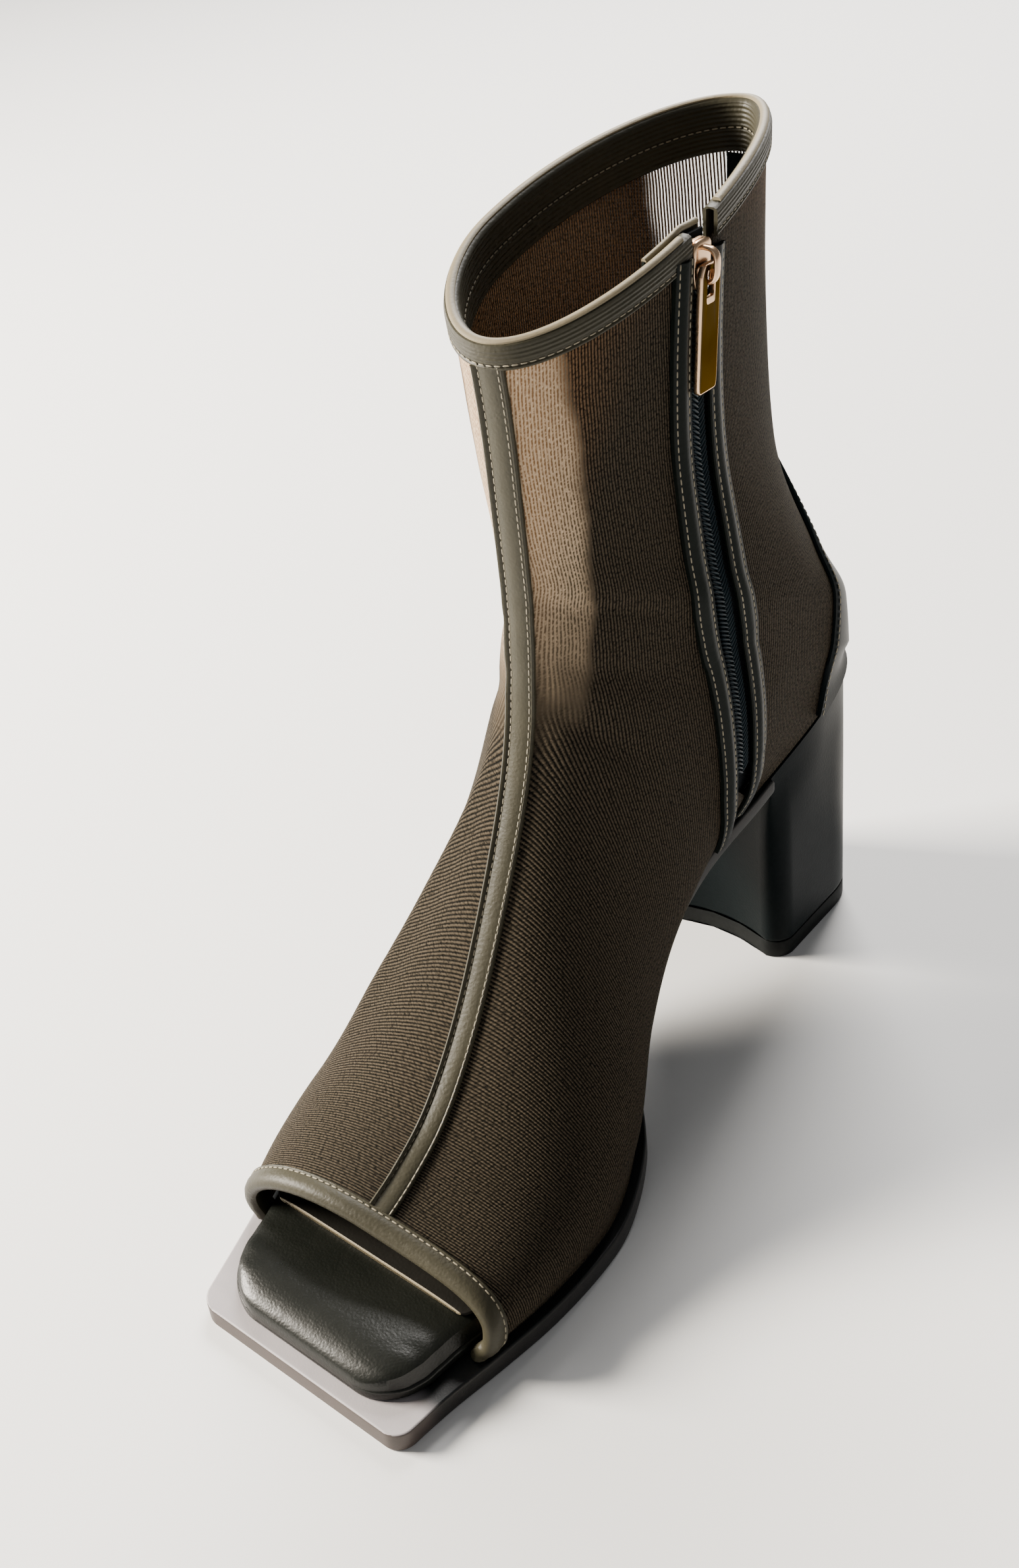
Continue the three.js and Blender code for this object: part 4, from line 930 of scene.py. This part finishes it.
# Slider and pull
# A die-cast slider in pale rose gold runs on the coil. Its arched bridge carries a plain pull plate in darker
# polished gold, with a window at its top, which swings about the bar across that window.
wear, given, result = new_group(
    "worn_metal",
    [("Vector", "NodeSocketVector", None)],
    [("Gloss", "NodeSocketFloat"), ("Shade", "NodeSocketFloat"), ("Height", "NodeSocketFloat")],
)
cast = put(wear, "ShaderNodeTexNoise", {"Vector": given["Vector"], "Scale": 260.0, "Detail": 4.0}).outputs[0]
smear = put(wear, "ShaderNodeTexNoise", {"Vector": given["Vector"], "Scale": 90.0, "Detail": 3.0}).outputs[0]
wear.links.new(calc(wear, "MULTIPLY_ADD", smear, 0.22, 0.08), result["Gloss"])
wear.links.new(smear, result["Shade"])
wear.links.new(cast, result["Height"])


def metal_finish(name, dark, light, gloss, edge):
    """Plated metal: smears change its gloss, the casting is faintly uneven, and edge is its tint aslant."""
    material, tree, shader = finish_of(name)
    worn = put(tree, "ShaderNodeGroup", node_tree=wear)
    tree.links.new(put(tree, "ShaderNodeTexCoord").outputs["Object"], worn.inputs["Vector"])
    paint(tree, shader, worn.outputs["Shade"], dark, light)
    tree.links.new(calc(tree, "MULTIPLY_ADD", worn.outputs["Gloss"], gloss, 0.05), shader.inputs["Roughness"])
    relief(tree, shader, worn.outputs["Height"], 0.00005, 0.5)
    fix(shader, Metallic=1.0, Specular_Tint=(*edge, 1))
    return material


slider_finish = metal_finish("rose_gold", (0.55, 0.36, 0.22), (0.78, 0.56, 0.38), 1.2, (1, 0.9, 0.8))
pull_finish = metal_finish("dark_gold", (0.022, 0.015, 0.008), (0.05, 0.036, 0.02), 0.9, (0.5, 0.45, 0.38))

slider_width = 8.0
slider_thickness = 2.6
pull_length = 31.0
pull_width = 8.6
pull_thickness = 1.6
pull_bar = 1.5
window_width = 3.6
window_length = 6.6
zip_height = zip_row(slider_drop)
zip_here = float(zip_turn(zip_height))
metal_place = skin(zip_height, zip_here)
metal_out = slopes(zip_height, zip_here)[2]
metal_across = unit(np.cross(skin(zip_height + 0.2, zip_turn(zip_height + 0.2)) - metal_place, metal_out))
metal_up = np.cross(metal_out, metal_across)
slider_face = -cloth + clearance / 2 + slider_thickness
hinge_height = slider_face + pull_thickness / 2 + 2 * clearance


def at_zip(points):
    """Points given across the zip, up along it and out of the boot, in the boot's own axes."""
    return metal_place + points @ np.stack([metal_across, metal_up, metal_out])


def superellipse(width, length, power, n):
    """Closed curve |x|^p + |y|^p = 1, stretched to a width and a length."""
    angle = np.linspace(0, 2 * np.pi, n, endpoint=False)
    x, y = np.cos(angle), np.sin(angle)
    return np.stack([
        np.sign(x) * abs(x) ** (2 / power) * width / 2,
        np.sign(y) * abs(y) ** (2 / power) * length / 2,
    ], -1)


outline = superellipse(slider_width, slider_length, 5, 64)
outline[:, 0] *= 1 - 0.28 * ease(0, slider_length / 2, -outline[:, 1])
body_profile = [
    (0.0, -1.45), (0.9, -1.45), (1, -1.2), (1, -0.2), (0.93, -0.05), (0.93, 0.25), (1, 0.4), (1, 0.8),
    (0.94, 1.1), (0.8, 1.22), (0.5, 1.35), (0.0, 1.4),
]
rings = [np.column_stack([outline * scale, np.full(len(outline), height)]) for scale, height in body_profile]
make_piece("zip_slider_body", closed_tube(at_zip(np.stack(rings)))[:2], [slider_finish],
           ["zip_slider"], merge=True, sharp=50)


def swept(path, width, thickness, out, n=16):
    """A bar of superellipse section swept along a path. Its thickness lies in the path's plane."""
    aside = np.cross(unit(np.gradient(path, axis=0)), out)
    angle = np.linspace(0, 2 * np.pi, n, endpoint=False)
    c, s = np.cos(angle), np.sin(angle)
    c, s = np.sign(c) * abs(c) ** 0.7, np.sign(s) * abs(s) ** 0.7
    ring = c[:, None, None] * np.asarray(out) * width / 2 + s[:, None, None] * aside * thickness / 2
    return path[:, None] + np.moveaxis(np.broadcast_to(ring, (n, *path.shape)), 0, 1)


arc = np.linspace(-1, 1, 48)
path = np.stack([np.zeros(48), 4.1 * np.sign(arc) * abs(arc) ** 0.75,
                 slider_face - 0.5 + 4.0 * rounded(abs(arc) ** 0.75, 3.2)], -1)
make_piece("zip_slider_bridge", closed_tube(at_zip(swept(path, 2.2, 1.2, (1.0, 0.0, 0.0))))[:2],
           [slider_finish], sharp=60)

plate = superellipse(pull_width, pull_length, 14, 160)
plate[:, 1] += pull_bar / 2 - pull_length / 2
plate[:, 0] *= 1 - 0.16 * ease(-2.0, pull_bar / 2, plate[:, 1])
hole = superellipse(window_width, window_length, 8, 160)
hole[:, 1] += -pull_bar / 2 - window_length / 2
# Share of the way from the plate's edge to its window, bevel and height, on its front. The back mirrors them.
half = pull_thickness / 2
front_face = [(0.0, 0.0, half - 0.3), (0.0, 0.09, half - 0.09), (0.0, 0.3, half), (0.45, 0.0, half),
              (0.94, 0.0, half), (1.0, 0.0, half - 0.25)]
bright_edges = [1, 1, 0, 0, 1, 1, 1, 0, 0, 1, 1, 1]
back_face = [(share, bevel, -height) for share, bevel, height in front_face[::-1]]
middle = np.array([0, pull_bar / 2 - pull_length / 2])
rings = []
for share, bevel, height in front_face + back_face:
    drawn_in = (plate - middle) * (1 - 2 * bevel / np.array([pull_width, pull_length])) + middle
    flat = drawn_in * (1 - share) + hole * share
    rings.append(np.column_stack([flat, np.full(len(flat), hinge_height + height)]))
points = at_zip(np.stack(rings, 1))
faces = grid_faces(len(plate) + 1, len(rings), ring=True) % (len(plate) * len(rings))
pull = make_piece("pull_plate", (points, outward(points, faces)), [pull_finish, slider_finish],
                  ["pull_tab"], body="pull", sharp=35)
pull.data.polygons.foreach_set("material_index", bright_edges * len(plate))


# Sole
# A leather outsole with a square toe, sanded brown at its edge, and finely grained. Its top is painted pale
# where it stands past the footbed, a painted reflection of the bright studio, and from there back its top and
# edge are painted dark, a painted shade under the footbed and the upper.
toe_slant = 0.385
toe_line = float(origin[1] + toe_slant * origin[0] - 234) / 1000
arch_thickness = 4.6
seat_front = 0.235
# Its pale colour is a painted reflection of the bright studio on the toe.
sole_finish = leather_finish("sole_leather", (0.26, 0.24, 0.25), (0.42, 0.39, 0.4), 0.38, scale=2200.0,
                             crumple=0.1, depth=0.00006, coat=0.1)
edge_finish = leather_finish("sole_edge", (0.03, 0.022, 0.02), (0.085, 0.066, 0.058), 0.5, scale=2600.0,
                             crumple=0.1, depth=0.0001)
# In front of a slanted line across the toe the colours stay pale, painted light. Behind it they turn dark,
# painted shade.
for finish, painted_shade in ((sole_finish, (0.004, 0.005, 0.006)), (edge_finish, (0.012, 0.011, 0.010))):
    tree = finish.node_tree
    base = tree.nodes["Principled BSDF"].inputs["Base Color"]
    spot = put(tree, "ShaderNodeTexCoord").outputs["Object"]
    at = put(tree, "ShaderNodeSeparateXYZ", {"Vector": spot}).outputs
    line = calc(tree, "MULTIPLY_ADD", at[0], toe_slant, at[1])
    painted_shade_mask = step_between(tree, line, toe_line - 0.004, toe_line + 0.004)
    tree.links.new(blend_colour(tree, painted_shade_mask, base.links[0].from_socket, painted_shade), base)


def slab(first, last, inset, corner, top, bottom, bevel, stations=150, columns=40):
    """A plate on the sole's outline: rings across the foot, with its edges rounded to a bevel's radius and
    its front corners to another. Top and bottom give heights from the share of the foot length and the
    column."""
    end = bevel / foot_length * (1 - np.cos(np.linspace(0, np.pi / 2, 6)))
    front = last - corner / foot_length
    share = np.concatenate([
        first + end, np.linspace(first + 1.2 * end[-1], front, stations),
        front + (last - end[-1] - front) * np.sin(np.linspace(0, np.pi / 2, 16))[1:-1], last - end[::-1],
    ])[:, None]
    at_end = np.minimum(share - first, last - share) * foot_length
    drawn = bevel * (1 - np.sqrt(np.clip(1 - (1 - np.minimum(at_end / bevel, 1)) ** 2, 0, 1)))
    angle = np.linspace(0, np.pi / 2, 5)
    side = np.ones(5)
    c = np.concatenate([np.linspace(-1, 1, columns), side, side, np.linspace(1, -1, columns), -side, -side])
    fold = np.concatenate([np.full(columns, bevel), bevel * (1 - np.sin(angle)), bevel * (1 - np.cos(angle))])
    fold = np.concatenate([fold, fold])[None, :]
    drop = np.concatenate([np.zeros(columns), bevel * (1 - np.cos(angle)), bevel * (1 - np.sin(angle))])
    drop = np.concatenate([drop, drop])[None, :]
    upper_side = np.concatenate([np.ones(columns + 5), np.zeros(columns + 10), np.ones(5)])[None, :] > 0
    past = (share - last) * (foot_length / corner) + 1
    shorter = corner * (1 - rounded(past, 2))
    left = edge_x(share, -1, inset(share)) + shorter + fold
    right = edge_x(share, 1, inset(share)) - shorter - fold
    c = np.broadcast_to(c[None, :], left.shape)
    high, low = top(share, c) - drop - drawn, bottom(share, c) + drop + drawn
    return place(np.broadcast_to(share, c.shape), left + (right - left) * (c + 1) / 2,
                 np.where(upper_side, high, low))


def sole_low(share, c):
    """Height of the underside of the sole, which is thinner under the arch."""
    return sole_top(share) - arch_thickness - (sole_thickness - arch_thickness) * ease(0.4, 0.66, share)


plank = slab(seat_front, 1, lambda share: 0, 5.0, lambda share, c: sole_top(share), sole_low, 0.7)
outsole = make_piece("outsole_leather", closed_tube(plank)[:2], [sole_finish, edge_finish],
                     ["outsole"])
upright = np.zeros(len(outsole.data.polygons) * 3)
outsole.data.polygons.foreach_get("normal", upright)
outsole.data.polygons.foreach_set("material_index", (abs(upright[2::3]) < 0.6).astype(int))


# Footbed
# A padded footbed wrapped in satin leather rolls down over its front edge. A thin leather sock lies on it.
pad_finish = leather_finish("pad_leather", (0.0012, 0.0018, 0.0014), (0.006, 0.0068, 0.0045), 0.34, 0.3,
                            scale=1500.0, crumple=0.9, depth=0.00014)
liner_finish = leather_finish("liner_leather", (0.003, 0.003, 0.0025), (0.010, 0.009, 0.007), 0.5, 0.1)
lining_inset = feather_inset + cloth + 0.9
pad_end = 1 - 4 / foot_length
sock_end = 0.874


def pad_inset(share):
    """How far the footbed's side stands inside the sole's edge."""
    widened = lining_inset + leather * ease(0.77, 0.82, share)
    return widened + (5.6 - lining_inset - leather) * ease(0.89, 0.93, share)


def pad_top(share, c):
    """Height of the footbed: its depth on the sole, rounded down at its sides and over its front roll."""
    depth = 4.5 + 4 * ease(0.5, 0.75, share)
    roll = rounded((share - pad_end) / 0.055 + 1, 2.4) * rounded(abs(c), 5)
    puckers = 0.1 * np.sin(share * 260 + 2 * np.sin(9 * c))
    puckers = puckers * ease(0.6, 0.95, abs(c)) * ease(0.88, 0.92, share)
    return sole_top(share) + clearance + depth * (0.35 + 0.65 * roll) + puckers


cushion = slab(6.3 / foot_length, pad_end, pad_inset, 13.0, pad_top,
               lambda share, c: sole_top(share) + clearance, 0.8, 220, 60)
pad = make_piece("footbed_pad", closed_tube(cushion)[:2], [pad_finish], ["insole"])


def sock_low(share, c):
    """Height of the underside of the sock, just clear of the footbed."""
    return pad_top(share, 0.9 * c) + 2 * clearance


lining = slab(8.8 / foot_length, sock_end, lambda share: pad_inset(share) + 2.5, 3.0,
              lambda share, c: sock_low(share, c) + 1, sock_low, 0.4)
sock = make_piece("sock_leather", closed_tube(lining)[:2], [liner_finish, rim_finish],
                  ["sock_liner"])
place_of = np.zeros(len(sock.data.polygons) * 3)
sock.data.polygons.foreach_get("center", place_of)
towards_toe = -place_of[1::3] - toe_skew * place_of[0::3]
sock.data.polygons.foreach_set("material_index", (towards_toe > towards_toe.max() - 0.00025).astype(int))


# Heel
# A leather-covered block heel that narrows below its seat to a rounded base, on a top piece of dark rubber.
heel_taper = {"down": [0, 0.09, 0.25, 0.5, 1], "reach": [0, 0.12, 0.7, 0.97, 1]}
top_piece = 6.0
base_length = 50.0


def heel_point(u, c, reach_of, z):
    """A point of the heel: u runs from its back to its front, c across it, reach from the seat's outline to
    that of the base."""
    start = 1.2 / foot_length
    share = start + (seat_front - clearance / foot_length - start) * u
    left, right = edge_x(share, -1, 1.2), edge_x(share, 1, 1.2)
    seat = place(share, left + (right - left) * (c + 1) / 2, sole_top(share) - clearance)
    past = (u - 1) * (base_length / 6) + 1
    half = (62 - 8 * u) / 2 * rounded(1 - u / 0.42, 2.6) - 6 * (1 - rounded(past, 2))
    base = np.stack(np.broadcast_arrays(heel_swing + heel_base_swing + c * half,
                                        -heel_base_forward - u * base_length, z), -1)
    point = seat + (base - seat) * np.asarray(reach_of)[..., None]
    point[..., 1] += 5 * (1 - c * c) * u * u * ease(0, 0.3, reach_of)
    return point


def heel_ring(scale, reach_of, down, z):
    """One level of the heel: round its outline from the back, drawn in across the foot by a scale."""
    t = np.linspace(0, 1, 70)
    u = t - 0.75 * np.sin(2 * np.pi * t) / (2 * np.pi)
    side = np.ones_like(u)
    u = np.concatenate([u, np.ones(18), u[::-1]])
    c = np.concatenate([-side, np.linspace(-1, 1, 20)[1:-1], side]) * scale
    point = heel_point(u, c, np.full(u.shape, float(reach_of)), z)
    seat = heel_point(u, c, np.zeros_like(u), z)[:, 2]
    point[:, 2] = seat + (z - seat) * down
    return point


def shrunk(ring, by, rise):
    """A ring drawn in towards its middle by a distance, and raised."""
    middle = (ring.min(0) + ring.max(0)) / 2
    away = ring - middle
    away[:, 2] = 0
    length = np.linalg.norm(away, axis=1, keepdims=True)
    return ring - away / length * by + np.array([0, 0, rise])


foot = top_piece + clearance
levels = np.linspace(0, 1, 60) ** 1.1
rings = [heel_ring(scale, 0, 0, foot) for scale in (0, 0.5, 0.98)]
rings += [heel_ring(1, read(heel_taper, "down", "reach", level), level, foot) for level in levels[:-1]]
base = heel_ring(1, 1, 1, foot)
rings += [shrunk(base, 0, 0.5), shrunk(base, 0.15, 0.15), shrunk(base, 0.5, 0)]
rings += [heel_ring(scale, 1, 1, foot) for scale in (0.5, 0)]
make_piece("heel_block", closed_tube(np.stack(rings))[:2], [heel_finish], ["heel"],
           merge=True, sharp=50)

rubber_finish = flecked_finish("heel_rubber", (0.002, 0.003, 0.003), (0.008, 0.009, 0.009), 700.0, 5.0,
                               0.6, 0.1, depth=0.0001)
high_ring, low_ring = heel_ring(1, 1, 1, top_piece), heel_ring(1, 1, 1, 0)
rings = [heel_ring(scale, 1, 1, top_piece) for scale in (0, 0.5)]
rings += [shrunk(high_ring, by, rise) for by, rise in ((0.4, 0), (0.1, -0.1), (0, -0.4))]
rings += [shrunk(low_ring, by, rise) for by, rise in ((0, 0.6), (0.15, 0.15), (0.6, 0))]
rings += [heel_ring(scale, 1, 1, 0) for scale in (0.5, 0)]
make_piece("heel_top_rubber", closed_tube(np.stack(rings))[:2], [rubber_finish],
           ["heel_top_piece"], merge=True, sharp=50)
